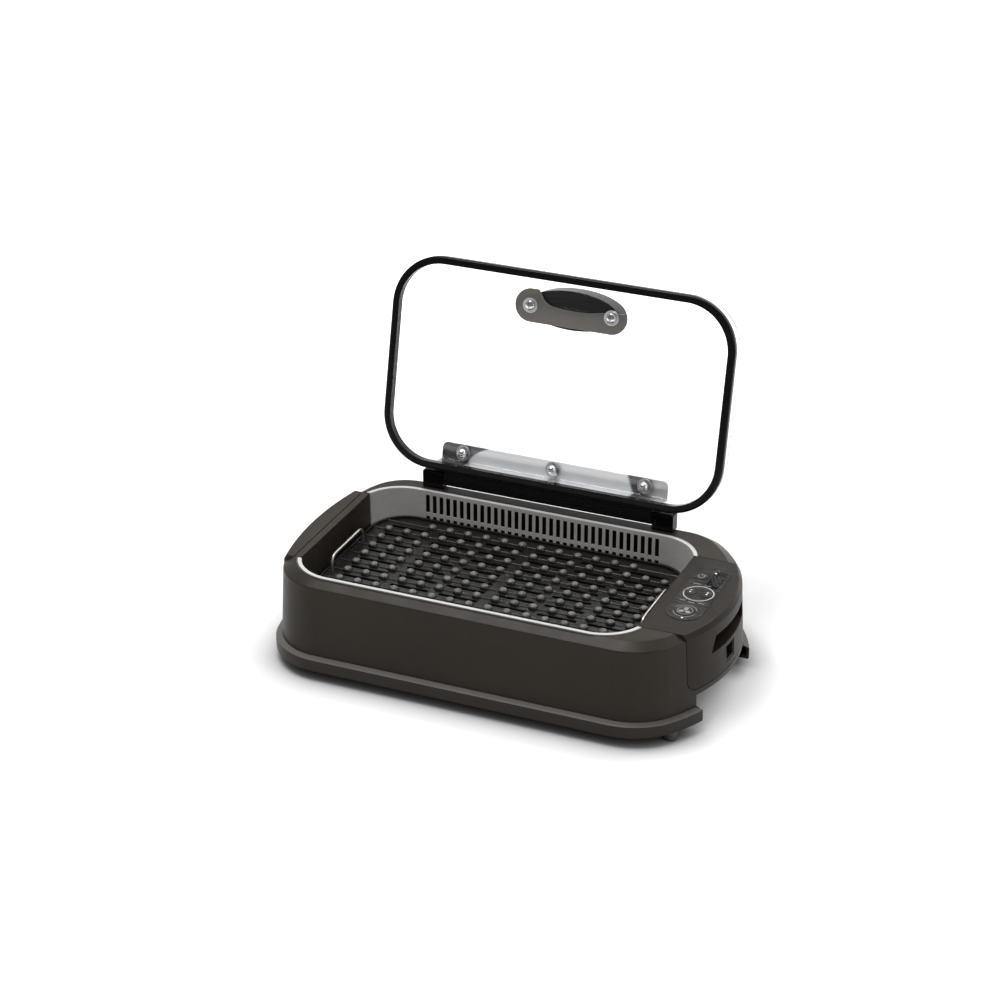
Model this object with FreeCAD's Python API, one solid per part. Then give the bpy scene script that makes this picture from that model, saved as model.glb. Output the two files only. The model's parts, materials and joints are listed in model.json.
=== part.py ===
import FreeCAD, Part
import math
import os

V = FreeCAD.Vector
X, Y, Z = V(1, 0, 0), V(0, 1, 0), V(0, 0, 1)

# Driving dimensions in millimetres. The working frame stands on the table under the middle of the well,
# X to the right, Y to the rear; the last step moves the origin to the bottom centre of the whole object.

# Body, as margins round the well
FOOT_HEIGHT = 11.0
SKIRT_HEIGHT = 13.0
SKIRT_OVERHANG = 6.5
SKIRT_WALL = 3.0
LEDGE_RISE = 2.0
BASE_FLOOR = 2.5
FRONT_MARGIN = 13.5
REAR_MARGIN = 29.0
HANDLE_LENGTH = 27.1
MODULE_LENGTH = 69.6
LEFT_BOW = 26.04
RIGHT_BOW = 72.13
LEFT_CORNER_RADIUS = 55.0
RIGHT_CORNER_RADIUS = 60.0
DRAFT_DEG = 2.7
SHOULDER_DROP = 7.0
SHOULDER_WIDTH = 11.0
SHOULDER_EDGE = 1.6
SKIRT_EDGE = 1.2
SKIRT_CHAMFER = 1.0
HOUSING_WALL = 2.5
RIM_EXTRA = 1.0
OVERCUT = 1.0
SEAM = 0.8
LIFT_GAP = 0.4

# Feet and base screws
FOOT_TOP_RADIUS = 8.0
FOOT_TIP_RADIUS = 6.5
FOOT_PEG_RADIUS = 3.0
FOOT_LEFT_INSET = 31.5
FOOT_RIGHT_INSET = 28.0
FOOT_FRONT_INSET = 28.5
BOSS_RADIUS = 5.0
BOSS_INSET = 9.0
BOSS_END_INSET = 64.4
BOSS_DEPTH = 20.0
BOSS_CAP = 2.0
SCREW_RADIUS = 2.0
SCREW_HEAD_RADIUS = 3.6
SCREW_HEAD = 2.0

# Open notch under the control module at the right end
NOTCH_FRONT_INSET = 10.0
NOTCH_REAR_INSET = 16.0
NOTCH_DEPTH = 31.0
NOTCH_BAND = 6.0

# Pan with its silver rim, and the air slots in its rear wall
WELL_HALF_LENGTH = 182.4
COLLAR_REACH = 3.6
COLLAR_HALF_Y = 110.0
COLLAR_RADIUS = 46.0
PAN_WALL = 1.2
FLANGE_WIDTH = 4.5
LEDGE_WIDTH = 6.0
TUB_DEPTH = 18.0
TUB_END_GAP = 2.4
SLOT_END_MARGIN = 4.0
SLOT_X = 2.3
SLOT_PITCH = 7.87
SLOT_WIDTH = 4.3
SLOT_HEIGHT = 21.0
SLOT_DROP = 4.5
LOW_SLOT_HEIGHT = 8.0
LOW_SLOT_GAP = 4.0
SLOT_SILL = 1.5

# End blocks: left handle and right control module
BLOCK_SIDE_INSET = 30.0
BLOCK_SHOULDER = 6.0
BLOCK_SHOULDER_WIDTH = 3.5
BLOCK_EDGE = 2.0
BLOCK_WALL = 2.5
BLOCK_CORNER_RADIUS = 12.0
HANDLE_HEIGHT = 46.0
HANDLE_PROUD = 1.2
HANDLE_GROOVE_INSET = 7.6
HANDLE_GROOVE = 1.2
HANDLE_GRIP_GAP = 0.6
POCKET_END_INSET = 36.0
POCKET_DROP = 34.0
POCKET_HEIGHT = 17.0
POCKET_DEPTH = 24.0
POCKET_SLANT = 8.0
MODULE_POCKET_Y = -3.0
COVER_SIDE_INSET = 16.0
COVER_INSET = 6.0
COVER_END_GAP = 23.6
COVER_GAP = 0.2
COVER_LIP = 3.0
COVER_LIP_THICK = 1.5

# Mains inlet
INLET_Y = -9.0
INLET_GAP = 1.5
INLET_SILL = 7.0
INLET_WIDTH = 20.0
INLET_HEIGHT = 18.0
INLET_LIP = 1.5
INLET_RECESS = 12.0
INLET_BODY_DEPTH = 22.0
PIN_RADIUS = 2.0
PIN_PITCH = 8.0
PIN_RISE = 3.0
EARTH_DROP = 4.0
PIN_ROOT = 7.5
PIN_PROUD = 7.0

# Plug contacts between the module and the base, and the fan's lead
CONTACT_INSET = 22.6
CONTACT_LENGTH = 20.0
CONTACT_WIDTH = 26.0
CONTACT_PITCH = 10.0
CONTACT_RADIUS = 1.5
CONTACT_GAP = 0.4
CONTACT_REACH = 8.0
LEAD_RADIUS = 2.2

# Control panel
PANEL_INSET = 31.1
PANEL_Y = 7.0
PANEL_END_INSET = 13.0
PANEL_THICK = 1.6
PANEL_RECESS = 1.1
POWER_EDGE = 3.0
DISPLAY_EDGE = 4.0
DISPLAY_SPACE = 4.0
DISPLAY_MIDDLE = 0.2583
DISPLAY_SHARE = 0.3
DISPLAY_WIDTH = 13.0
DISPLAY_RADIUS = 2.0
TEMP_MIDDLE = -0.0167
TEMP_PITCH = 17.0
TEMP_RADIUS = 6.0
POWER_MIDDLE = 0.275
POWER_RADIUS = 6.5
FAN_KEY_MIDDLE = -0.3417
FAN_KEY_RADIUS = 9.0
KEY_PROUD = 0.4
KEY_GAP = 0.3
KEY_TRAVEL = 0.6
KEY_STEM_RADIUS = 1.6
BOARD_THICK = 1.6
BOARD_CLEAR = 2.0
BOARD_WIDTH = 40.0
BOARD_MARGIN = 2.0
SWITCH_SIZE = 6.0
SWITCH_HEIGHT = 2.6
BOARD_POST_RADIUS = 2.5

# Heating element
ELEMENT_RADIUS = 4.0
ELEMENT_HEADROOM = 4.1
ELEMENT_SIDE_GAP = 35.0
ELEMENT_LEFT_GAP = 54.4
ELEMENT_RIGHT_GAP = 64.4
ELEMENT_END = 14.0
BUSH_RADIUS = 7.0
BUSH_LENGTH = 6.0
BRACE_INSET = 23.0
BRACE_WIDTH = 12.0
BRACE_THICK = 1.6
ELEMENT_SLOT_MARGIN = 5.0

# Grill plate
PLATE_END_GAP = 6.4
PLATE_SIDE_GAP = 3.0
PLATE_CORNER_EASE = 6.0
PLATE_THICK = 4.0
PLATE_RIM = 3.0
PLATE_RIM_RISE = 2.0
BAR_MARGIN = 10.0
BAR_PITCH = 20.0
BAR_WIDTH = 3.2
BAR_RISE = 1.3
BUMP_MARGIN = 13.0
BUMP_PITCH = 20.7
BUMP_RADIUS = 5.4
BUMP_RISE = 4.8
DRAIN_MARGIN = 13.0
DRAIN_LENGTH = 42.0
DRAIN_WIDTH = 4.5
DRAIN_PITCH = 54.0
WIRE_RADIUS = 1.5
BAIL_INSET = 6.0
BAIL_HALF_WIDTH = 38.0
BAIL_RISE = 17.5
BAIL_CORNER_RADIUS = 9.0

# Extractor fan under the pan
FAN_Y = 12.0
FAN_WALL = 3.0
FAN_HEIGHT = 22.0
FAN_HEADROOM = 15.5
FAN_BORE_RADIUS = 43.0
FAN_TIP_GAP = 1.5
FAN_STRUT = 4.0
FAN_STRUT_THICK = 2.5
FAN_CORNER_RADIUS = 6.0
FAN_HOLE_INSET = 6.0
MOTOR_RADIUS = 16.0
MOTOR_SEAT_EDGE = 1.0
MOTOR_HEIGHT = 8.5
SHAFT_RADIUS = 1.5
SHAFT_GAP = 0.05
SHAFT_DEPTH = 6.5
HUB_OVERHANG = 2.0
HUB_HEIGHT = 6.0
HUB_GAP = 0.4
BLADE_COUNT = 7
BLADE_CHORD = 17.0
BLADE_THICK = 1.6
BLADE_ANGLE = 35.0
VENT_COUNT = 8
VENT_PITCH = 9.0
VENT_WIDTH = 4.5

# Hinge
HINGE_X = 4.0
HINGE_INSET = 15.6
HINGE_ABOVE_TRIM = 3.6
LID_OPEN_DEG = 103.0
BARREL_END_INSET = 65.0
BARREL_SIZE = 10.0
BARREL_CLEAR = 0.4
BARREL_SLIT = 4.8
BARREL_EDGE = 2.0
BLOCK_GAP = 0.6
HINGE_BLOCK_LENGTH = 23.5
HINGE_BLOCK_FRONT = 5.4
HINGE_BLOCK_BACK = 8.0
HINGE_BLOCK_RISE = 7.0
HINGE_BLOCK_EDGE = 2.5
LEG_LENGTH = 17.0
LEG_THICK = 5.0
LEG_DROP = 34.0
LEG_BACK_INSET = 6.0
SOCKET_WALL = 2.5
PIN_HINGE_RADIUS = 2.5
PIN_HINGE_REACH = 11.0
PIN_HINGE_COVER = 3.0
RUN_GAP = 0.05

# Lid
LID_OVERLAP = 7.6
LID_FRONT_OVERLAP = 3.0
LID_SETBACK = 8.9
LID_RADIUS = 56.0
LID_SEAT = 0.4
TRIM_WIDTH = 8.0
TRIM_THICK = 9.0
TRIM_EDGE = 2.5
GLASS_THICK = 3.0
GLASS_INSET = 2.0
GLASS_FLANGE_Z = 2.5
GLASS_SLOPE_DEG = 88.0
GLASS_SLOPE_INSET = 3.0
DOME_HEIGHT = 33.0
DOME_EDGE = 4.0

# Hinge bracket on the lid
BRACKET_X = 0.5
BRACKET_OVERHANG = 10.6
BRACKET_THICK = 1.5
BRACKET_GAP = 0.2
BRACKET_REACH = 24.4
BRACKET_CORNER = 6.0
BRACKET_NECK_INSET = 2.4
BOLT_END_INSET = 25.0
BOLT_INSET = 16.2
BOLT_RADIUS = 2.5
BOLT_HOLE_GAP = 0.15
BOLT_HEAD_RADIUS = 5.0
BOLT_HEAD = 2.2
WASHER_RADIUS = 8.2
WASHER_THICK = 1.2
NUT_RADIUS = 5.0
NUT_HEIGHT = 3.2
CAP_RADIUS = 4.5

# Oval lid grip with a finger hollow on its hinge side, and the scooped plate inside the glass
GRIP_INSET = 41.5
GRIP_RISE = 27.0
GRIP_END_INSET = 10.5
GRIP_HALF_WIDTH = 20.5
GRIP_EDGE = 4.0
HOLLOW_END = 21.0
HOLLOW_FLOOR = 4.0
HOLLOW_CEILING = 7.0
HOLLOW_WALL = 8.0
GRIP_BOLT_INSET = 17.25
GRIP_PLATE_LENGTH = 125.0
GRIP_PLATE_WIDTH = 35.5
GRIP_PLATE_THICK = 1.2
GRIP_SCREW_REACH = 12.0
SCOOP_EDGE = ((-0.60, 1.07), (-0.54, 0.704), (-0.42, 0.237), (-0.192, 0.056), (0.08, 0.023),
              (0.336, 0.073), (0.592, 0.225), (0.832, 0.304), (1.024, 0.394))
SCOOP_TOP = 1.6

# Levels and offsets worked out from the driving dimensions
COLLAR_HALF_X = WELL_HALF_LENGTH + COLLAR_REACH
BODY_FRONT = COLLAR_HALF_Y + FRONT_MARGIN
BODY_REAR = COLLAR_HALF_Y + REAR_MARGIN
BODY_LEFT = WELL_HALF_LENGTH + HANDLE_LENGTH
BODY_RIGHT = WELL_HALF_LENGTH + MODULE_LENGTH
LEFT_BOW_RADIUS = (BODY_REAR**2 + LEFT_BOW**2) / (2 * LEFT_BOW)
RIGHT_BOW_RADIUS = (BODY_REAR**2 + RIGHT_BOW**2) / (2 * RIGHT_BOW)
LEDGE_DEPTH = SLOT_DROP + SLOT_HEIGHT + LOW_SLOT_GAP + LOW_SLOT_HEIGHT + SLOT_SILL
RIM_HEIGHT = FOOT_HEIGHT + BASE_FLOOR + FAN_HEIGHT + FAN_HEADROOM + TUB_DEPTH + LEDGE_DEPTH
FOOT_LEFT_X = FOOT_LEFT_INSET - BODY_LEFT
FOOT_RIGHT_X = BODY_RIGHT - FOOT_RIGHT_INSET
FOOT_Y = BODY_FRONT - FOOT_FRONT_INSET
BOSS_X = WELL_HALF_LENGTH - BOSS_END_INSET
BLOCK_HALF_WIDTH = COLLAR_HALF_Y - BLOCK_SIDE_INSET
POCKET_HALF_WIDTH = BLOCK_HALF_WIDTH - POCKET_END_INSET
POCKET_BOTTOM = RIM_HEIGHT - POCKET_DROP
HANDLE_POCKET_DEPTH = HANDLE_LENGTH - BLOCK_WALL - HANDLE_GRIP_GAP
HANDLE_BOTTOM = RIM_HEIGHT - HANDLE_HEIGHT
HANDLE_GROOVE_X = WELL_HALF_LENGTH + HANDLE_GROOVE_INSET
INLET_Z = POCKET_BOTTOM - BLOCK_WALL - INLET_GAP - INLET_HEIGHT / 2
MODULE_BOTTOM = INLET_Z - INLET_HEIGHT / 2 - INLET_SILL
COVER_HALF_WIDTH = BLOCK_HALF_WIDTH - COVER_SIDE_INSET
COVER_LENGTH = MODULE_LENGTH - COVER_INSET - COVER_END_GAP
NOTCH_FRONT = NOTCH_FRONT_INSET - BLOCK_HALF_WIDTH
NOTCH_REAR = BLOCK_HALF_WIDTH - NOTCH_REAR_INSET
NOTCH_X = BODY_RIGHT - NOTCH_DEPTH
NOTCH_TOP = MODULE_BOTTOM - NOTCH_BAND
CONTACT_X = WELL_HALF_LENGTH + CONTACT_INSET
PANEL_X = WELL_HALF_LENGTH + PANEL_INSET
PANEL_LENGTH = 2 * (BLOCK_HALF_WIDTH - PANEL_Y - PANEL_END_INSET)
PANEL_WIDTH = POWER_EDGE + 2 * POWER_RADIUS + DISPLAY_SPACE + DISPLAY_WIDTH + DISPLAY_EDGE
POWER_X = PANEL_X - PANEL_WIDTH / 2 + POWER_EDGE + POWER_RADIUS
POWER_Y = PANEL_Y + POWER_MIDDLE * PANEL_LENGTH
TEMP_Y = PANEL_Y + TEMP_MIDDLE * PANEL_LENGTH
FAN_KEY_Y = PANEL_Y + FAN_KEY_MIDDLE * PANEL_LENGTH
DISPLAY_X = PANEL_X + PANEL_WIDTH / 2 - DISPLAY_EDGE - DISPLAY_WIDTH / 2
DISPLAY_Y = PANEL_Y + DISPLAY_MIDDLE * PANEL_LENGTH
DISPLAY_LENGTH = DISPLAY_SHARE * PANEL_LENGTH
BOARD_LENGTH = PANEL_LENGTH + 2 * BOARD_MARGIN
FAN_SIZE = 2 * (FAN_BORE_RADIUS + FAN_WALL)
HUB_RADIUS = MOTOR_RADIUS + HUB_OVERHANG
SKIRT_TOP = FOOT_HEIGHT + SKIRT_HEIGHT
WALL_BOTTOM = SKIRT_TOP + LEDGE_RISE
SHOULDER_Z = RIM_HEIGHT - SHOULDER_DROP
DRAFT = (SHOULDER_Z - WALL_BOTTOM) * math.tan(math.radians(DRAFT_DEG))
SKIRT_GROW = DRAFT + SKIRT_OVERHANG
BASE_TOP = FOOT_HEIGHT + BASE_FLOOR
PAN_LEDGE_Z = RIM_HEIGHT - LEDGE_DEPTH
TUB_FLOOR_Z = PAN_LEDGE_Z - TUB_DEPTH
TUB_HALF_X = WELL_HALF_LENGTH - TUB_END_GAP
TUB_HALF_Y = COLLAR_HALF_Y - LEDGE_WIDTH
TUB_RADIUS = COLLAR_RADIUS - LEDGE_WIDTH
PLATE_HALF_X = WELL_HALF_LENGTH - PLATE_END_GAP
PLATE_HALF_Y = COLLAR_HALF_Y - PLATE_SIDE_GAP
PLATE_RADIUS = COLLAR_RADIUS - PLATE_CORNER_EASE
PLATE_Z = PAN_LEDGE_Z + PAN_WALL + LIFT_GAP
PLATE_TOP = PLATE_Z + PLATE_THICK
BAIL_X = PLATE_HALF_X - BAIL_INSET
ELEMENT_Z = PLATE_Z - ELEMENT_HEADROOM - ELEMENT_RADIUS
ELEMENT_PITCH = (TUB_HALF_Y - ELEMENT_SIDE_GAP) / 1.5
ELEMENT_LEFT = ELEMENT_LEFT_GAP - WELL_HALF_LENGTH
ELEMENT_RIGHT = WELL_HALF_LENGTH - ELEMENT_RIGHT_GAP
BRACE_X = ELEMENT_RIGHT - BRACE_INSET
HINGE_Y = BODY_REAR - HINGE_INSET
HINGE_RISE = LID_SEAT + TRIM_THICK + HINGE_ABOVE_TRIM
HINGE_Z = RIM_HEIGHT + HINGE_RISE
BARREL_HALF_LENGTH = WELL_HALF_LENGTH - BARREL_END_INSET
BRACKET_HALF_LENGTH = BARREL_HALF_LENGTH + BRACKET_OVERHANG
BRACKET_NECK = BARREL_HALF_LENGTH - BRACKET_NECK_INSET
BOLT_PITCH = BRACKET_HALF_LENGTH - BOLT_END_INSET
LID_Z = RIM_HEIGHT + LID_SEAT
LID_REAR = HINGE_Y - LID_SETBACK
LID_HALF_LENGTH = WELL_HALF_LENGTH + LID_OVERLAP
LID_DEPTH = LID_REAR + COLLAR_HALF_Y + LID_FRONT_OVERLAP
GRIP_HALF_LENGTH = GRIP_PLATE_LENGTH / 2 - GRIP_END_INSET
GRIP_BOLT_REACH = GRIP_PLATE_LENGTH / 2 - GRIP_BOLT_INSET
LID_MID_Y = LID_REAR - LID_DEPTH / 2
SLOPE = math.radians(GLASS_SLOPE_DEG)
DOME_INNER_EDGE = DOME_EDGE - GLASS_THICK


def box(x0, x1, y0, y1, z0, z1):
    return Part.makeBox(x1 - x0, y1 - y0, z1 - z0, V(x0, y0, z0))


def rod(radius, start, direction, length):
    return Part.makeCylinder(radius, length, start, direction)


def fuse_all(shapes):
    first, rest = shapes[0], shapes[1:]
    return first.multiFuse(rest).removeSplitter() if rest else first


def prism(wire, z0, z1):
    face = Part.Face(wire)
    face.translate(V(0, 0, z0))
    return face.extrude(V(0, 0, z1 - z0))


def rounded(half_x, half_y, radius, centre=V(0, 0, 0)):
    """A rounded rectangle's wire at z of its centre."""
    turn = radius * math.sqrt(0.5)
    edges = []
    for sx, sy in ((1, -1), (1, 1), (-1, 1), (-1, -1)):
        mid = centre + V(sx * (half_x - radius), sy * (half_y - radius), 0)
        along_x = mid + V(sx * radius, 0, 0)
        along_y = mid + V(0, sy * radius, 0)
        ends = (along_y, along_x) if sx * sy < 0 else (along_x, along_y)
        edges.append(Part.Arc(ends[0], mid + V(sx * turn, sy * turn, 0), ends[1]).toShape())
    sides = []
    for i, arc in enumerate(edges):
        after = edges[(i + 1) % 4]
        sides += [arc, Part.makeLine(arc.Vertexes[-1].Point, after.Vertexes[0].Point)]
    return Part.Wire(sides)


def row_of(reach, pitch, middle=0.0):
    """Centres of as many copies as fit at a pitch within a reach to each side of a middle."""
    count = int(2 * reach / pitch)
    return [middle + (i - (count - 1) / 2) * pitch for i in range(count)]


def upright(edge):
    return abs(edge.tangentAt(edge.FirstParameter).z) > 0.99


def body_outline(grow):
    """Plan of the body at its shoulder, grown outwards: straight front and rear, bowed ends, round corners."""
    front, rear = -(BODY_FRONT + grow), BODY_REAR + grow
    left_c, right_c = LEFT_BOW_RADIUS - BODY_LEFT, BODY_RIGHT - RIGHT_BOW_RADIUS
    left_r, right_r = LEFT_BOW_RADIUS + grow, RIGHT_BOW_RADIUS + grow
    left = [V(left_c - math.sqrt(left_r**2 - y**2), y, 0) for y in (rear, 0, front)]
    right = [V(right_c + math.sqrt(right_r**2 - y**2), y, 0) for y in (front, 0, rear)]
    ring = Part.Wire([
        Part.makeLine(left[2], right[0]),
        Part.Arc(*right).toShape(),
        Part.makeLine(right[2], left[0]),
        Part.Arc(*left).toShape(),
    ])
    block = Part.Face(ring).extrude(Z)
    corners = [e for e in block.Edges if upright(e)]
    left_edges = [e for e in corners if e.CenterOfMass.x < 0]
    right_edges = [e for e in corners if e.CenterOfMass.x > 0]
    block = block.makeFillet(LEFT_CORNER_RADIUS + grow, left_edges)
    right_edges = [e for e in block.Edges if upright(e) and any(
        e.CenterOfMass.distanceToPoint(r.CenterOfMass) < 0.01 for r in right_edges)]
    block = block.makeFillet(RIGHT_CORNER_RADIUS + grow, right_edges)
    floor = min(block.Faces, key=lambda f: f.CenterOfMass.z)
    return floor.OuterWire


def body_stack(levels):
    """A solid through body outlines, given as (height, growth) from the bottom up."""
    wires = []
    for z, grow in levels:
        wire = body_outline(grow)
        wire.translate(V(0, 0, z))
        wires.append(wire)
    return Part.makeLoft(wires, True, True)


def ring_edges(shape, z):
    """The edges that lie level at a height."""
    return [e for e in shape.Edges if abs(e.BoundBox.ZMin - z) < 0.01 and abs(e.BoundBox.ZMax - z) < 0.01]


def body_form(inset=0.0, shoulder=(SHOULDER_DROP, SHOULDER_WIDTH, SHOULDER_EDGE), bottom=WALL_BOTTOM,
              rim_extra=0.0):
    """The body's outer form, from its foot to the rim, moved in by a wall that is thicker at the rim."""
    drop, width, edge = shoulder
    slope = math.tan(math.radians(DRAFT_DEG))
    shoulder_z = RIM_HEIGHT - drop
    lean = (SHOULDER_Z - shoulder_z) * slope
    turn_z, top_z = shoulder_z - inset / 2, RIM_HEIGHT - inset - rim_extra
    form = body_stack([
        (bottom, DRAFT + (WALL_BOTTOM - bottom) * slope - inset),
        (turn_z, lean - inset),
        (top_z, lean - width - inset),
    ])
    if inset > 0:
        return form
    return form.makeFillet(edge, ring_edges(form, turn_z) + ring_edges(form, top_z))


def block_envelope(x0, x1, bottom, margin=0.0):
    """The space of an end block: a U in the end wall, open at the top."""
    half = BLOCK_HALF_WIDTH + margin
    low = bottom - margin
    shape = box(x0, x1, -half, half, low, RIM_HEIGHT + margin)
    feet = [e for e in shape.Edges
            if abs(e.tangentAt(e.FirstParameter).x) > 0.99 and e.CenterOfMass.z < low + OVERCUT]
    return shape.makeFillet(BLOCK_CORNER_RADIUS + margin, feet)


def collar(half_grow, z0, z1):
    wire = rounded(COLLAR_HALF_X + half_grow, COLLAR_HALF_Y + half_grow, COLLAR_RADIUS + half_grow)
    return prism(wire, z0, z1)


def boss_places():
    """Screw bosses inside the front and rear walls."""
    front = -(BODY_FRONT + DRAFT) + BOSS_INSET
    rear = BODY_REAR + DRAFT - BOSS_INSET
    return [V(x, y, 0) for y in (front, rear) for x in (-BOSS_X, 0, BOSS_X)]


def foot_places():
    return {
        "foot_front_left": V(FOOT_LEFT_X, -FOOT_Y, 0),
        "foot_front_right": V(FOOT_RIGHT_X, -FOOT_Y, 0),
        "foot_rear_left": V(FOOT_LEFT_X, FOOT_Y, 0),
        "foot_rear_right": V(FOOT_RIGHT_X, FOOT_Y, 0),
    }


def fan_corners():
    reach = FAN_SIZE / 2 - FAN_HOLE_INSET
    return [V(sx * reach, FAN_Y + sy * reach, 0) for sx in (-1, 1) for sy in (-1, 1)]


def make_base():
    shell = body_stack([
        (FOOT_HEIGHT, SKIRT_GROW), (SKIRT_TOP, SKIRT_GROW), (WALL_BOTTOM, DRAFT)])
    shell = shell.makeFillet(SKIRT_EDGE, ring_edges(shell, SKIRT_TOP))
    shell = shell.makeChamfer(SKIRT_CHAMFER, ring_edges(shell, FOOT_HEIGHT))
    shell = shell.cut(prism(body_outline(SKIRT_GROW - SKIRT_WALL), BASE_TOP, SKIRT_TOP - SKIRT_WALL / 2))
    shell = shell.cut(prism(body_outline(DRAFT - HOUSING_WALL), BASE_TOP, WALL_BOTTOM + OVERCUT))
    shell = shell.cut(box(NOTCH_X, BODY_RIGHT * 2, NOTCH_FRONT, NOTCH_REAR, 0, NOTCH_TOP))
    inside = body_form(HOUSING_WALL, bottom=FOOT_HEIGHT)
    end_wall = box(NOTCH_X - SKIRT_WALL, NOTCH_X, NOTCH_FRONT - SKIRT_WALL, NOTCH_REAR + SKIRT_WALL,
                   FOOT_HEIGHT, NOTCH_TOP).common(inside)
    cheeks = [box(NOTCH_X - SKIRT_WALL, BODY_RIGHT * 2, y, y + SKIRT_WALL, FOOT_HEIGHT, NOTCH_TOP)
              for y in (NOTCH_FRONT - SKIRT_WALL, NOTCH_REAR)]
    cheeks = [c.common(inside) for c in cheeks]
    bosses = [rod(BOSS_RADIUS, p + V(0, 0, FOOT_HEIGHT), Z, WALL_BOTTOM - FOOT_HEIGHT) for p in boss_places()]
    shell = fuse_all([shell, end_wall] + cheeks + bosses)
    holes = [rod(SCREW_RADIUS, p, Z, WALL_BOTTOM + OVERCUT) for p in boss_places()]
    holes += [rod(SCREW_HEAD_RADIUS, p + V(0, 0, FOOT_HEIGHT), Z, SCREW_HEAD) for p in boss_places()]
    holes += [rod(FOOT_PEG_RADIUS, p, Z, BASE_TOP) for p in foot_places().values()]
    holes += [rod(SCREW_RADIUS, p, Z, BASE_TOP) for p in fan_corners()]
    for i in range(VENT_COUNT):
        x = (i - (VENT_COUNT - 1) / 2) * VENT_PITCH
        half = math.sqrt((FAN_BORE_RADIUS - VENT_WIDTH) ** 2 - x**2)
        holes.append(box(x - VENT_WIDTH / 2, x + VENT_WIDTH / 2, FAN_Y - half, FAN_Y + half, 0,
                         BASE_TOP + OVERCUT))
    return shell.cut(Part.makeCompound(holes))


def hinge_span():
    """Inner and outer ends of a hinge block along X."""
    inner = BARREL_HALF_LENGTH + BLOCK_GAP
    return inner, inner + HINGE_BLOCK_LENGTH


def leg_box(side, margin, drop):
    """The leg of a hinge block, grown by a margin for its socket."""
    inner, outer = hinge_span()
    mid = HINGE_X + side * (inner + outer) / 2
    back = HINGE_Y + HINGE_BLOCK_BACK - LEG_BACK_INSET
    return box(mid - LEG_LENGTH / 2 - margin, mid + LEG_LENGTH / 2 + margin,
               back - LEG_THICK - margin, back + margin, RIM_HEIGHT - drop, RIM_HEIGHT + OVERCUT)


def make_housing():
    shell = body_form().cut(body_form(HOUSING_WALL, bottom=WALL_BOTTOM - OVERCUT, rim_extra=RIM_EXTRA))
    seats = []
    for side in (-1, 1):
        seat = leg_box(side, LIFT_GAP + SOCKET_WALL, LEG_DROP + SOCKET_WALL)
        seats.append(seat.common(body_form()))
    bosses = [rod(BOSS_RADIUS, p + V(0, 0, WALL_BOTTOM), Z, BOSS_DEPTH) for p in boss_places()]
    webs = []
    for p in boss_places():
        wall = p.y + math.copysign(BOSS_INSET - HOUSING_WALL / 2 - DRAFT / 2, p.y)
        y0, y1 = sorted((p.y, wall))
        webs.append(box(p.x - HOUSING_WALL / 2, p.x + HOUSING_WALL / 2, y0, y1,
                        WALL_BOTTOM, WALL_BOTTOM + BOSS_DEPTH))
    shell = fuse_all([shell] + seats + bosses + webs)
    cuts = [collar(LIFT_GAP, PAN_LEDGE_Z - OVERCUT, RIM_HEIGHT + OVERCUT)]
    cuts.append(collar(FLANGE_WIDTH + LIFT_GAP, RIM_HEIGHT - PAN_WALL - LIFT_GAP, RIM_HEIGHT + OVERCUT))
    cuts.append(block_envelope(WELL_HALF_LENGTH - SEAM, BODY_RIGHT * 2, MODULE_BOTTOM, SEAM))
    cuts.append(block_envelope(-BODY_LEFT * 2, -WELL_HALF_LENGTH + SEAM, HANDLE_BOTTOM, SEAM))
    cuts.append(box(NOTCH_X, BODY_RIGHT * 2, NOTCH_FRONT, NOTCH_REAR, 0, NOTCH_TOP))
    cuts += [leg_box(side, LIFT_GAP, LEG_DROP) for side in (-1, 1)]
    cuts += [rod(SCREW_RADIUS, p, Z, WALL_BOTTOM + BOSS_DEPTH - BOSS_CAP) for p in boss_places()]
    return shell.cut(Part.makeCompound(cuts))


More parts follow.
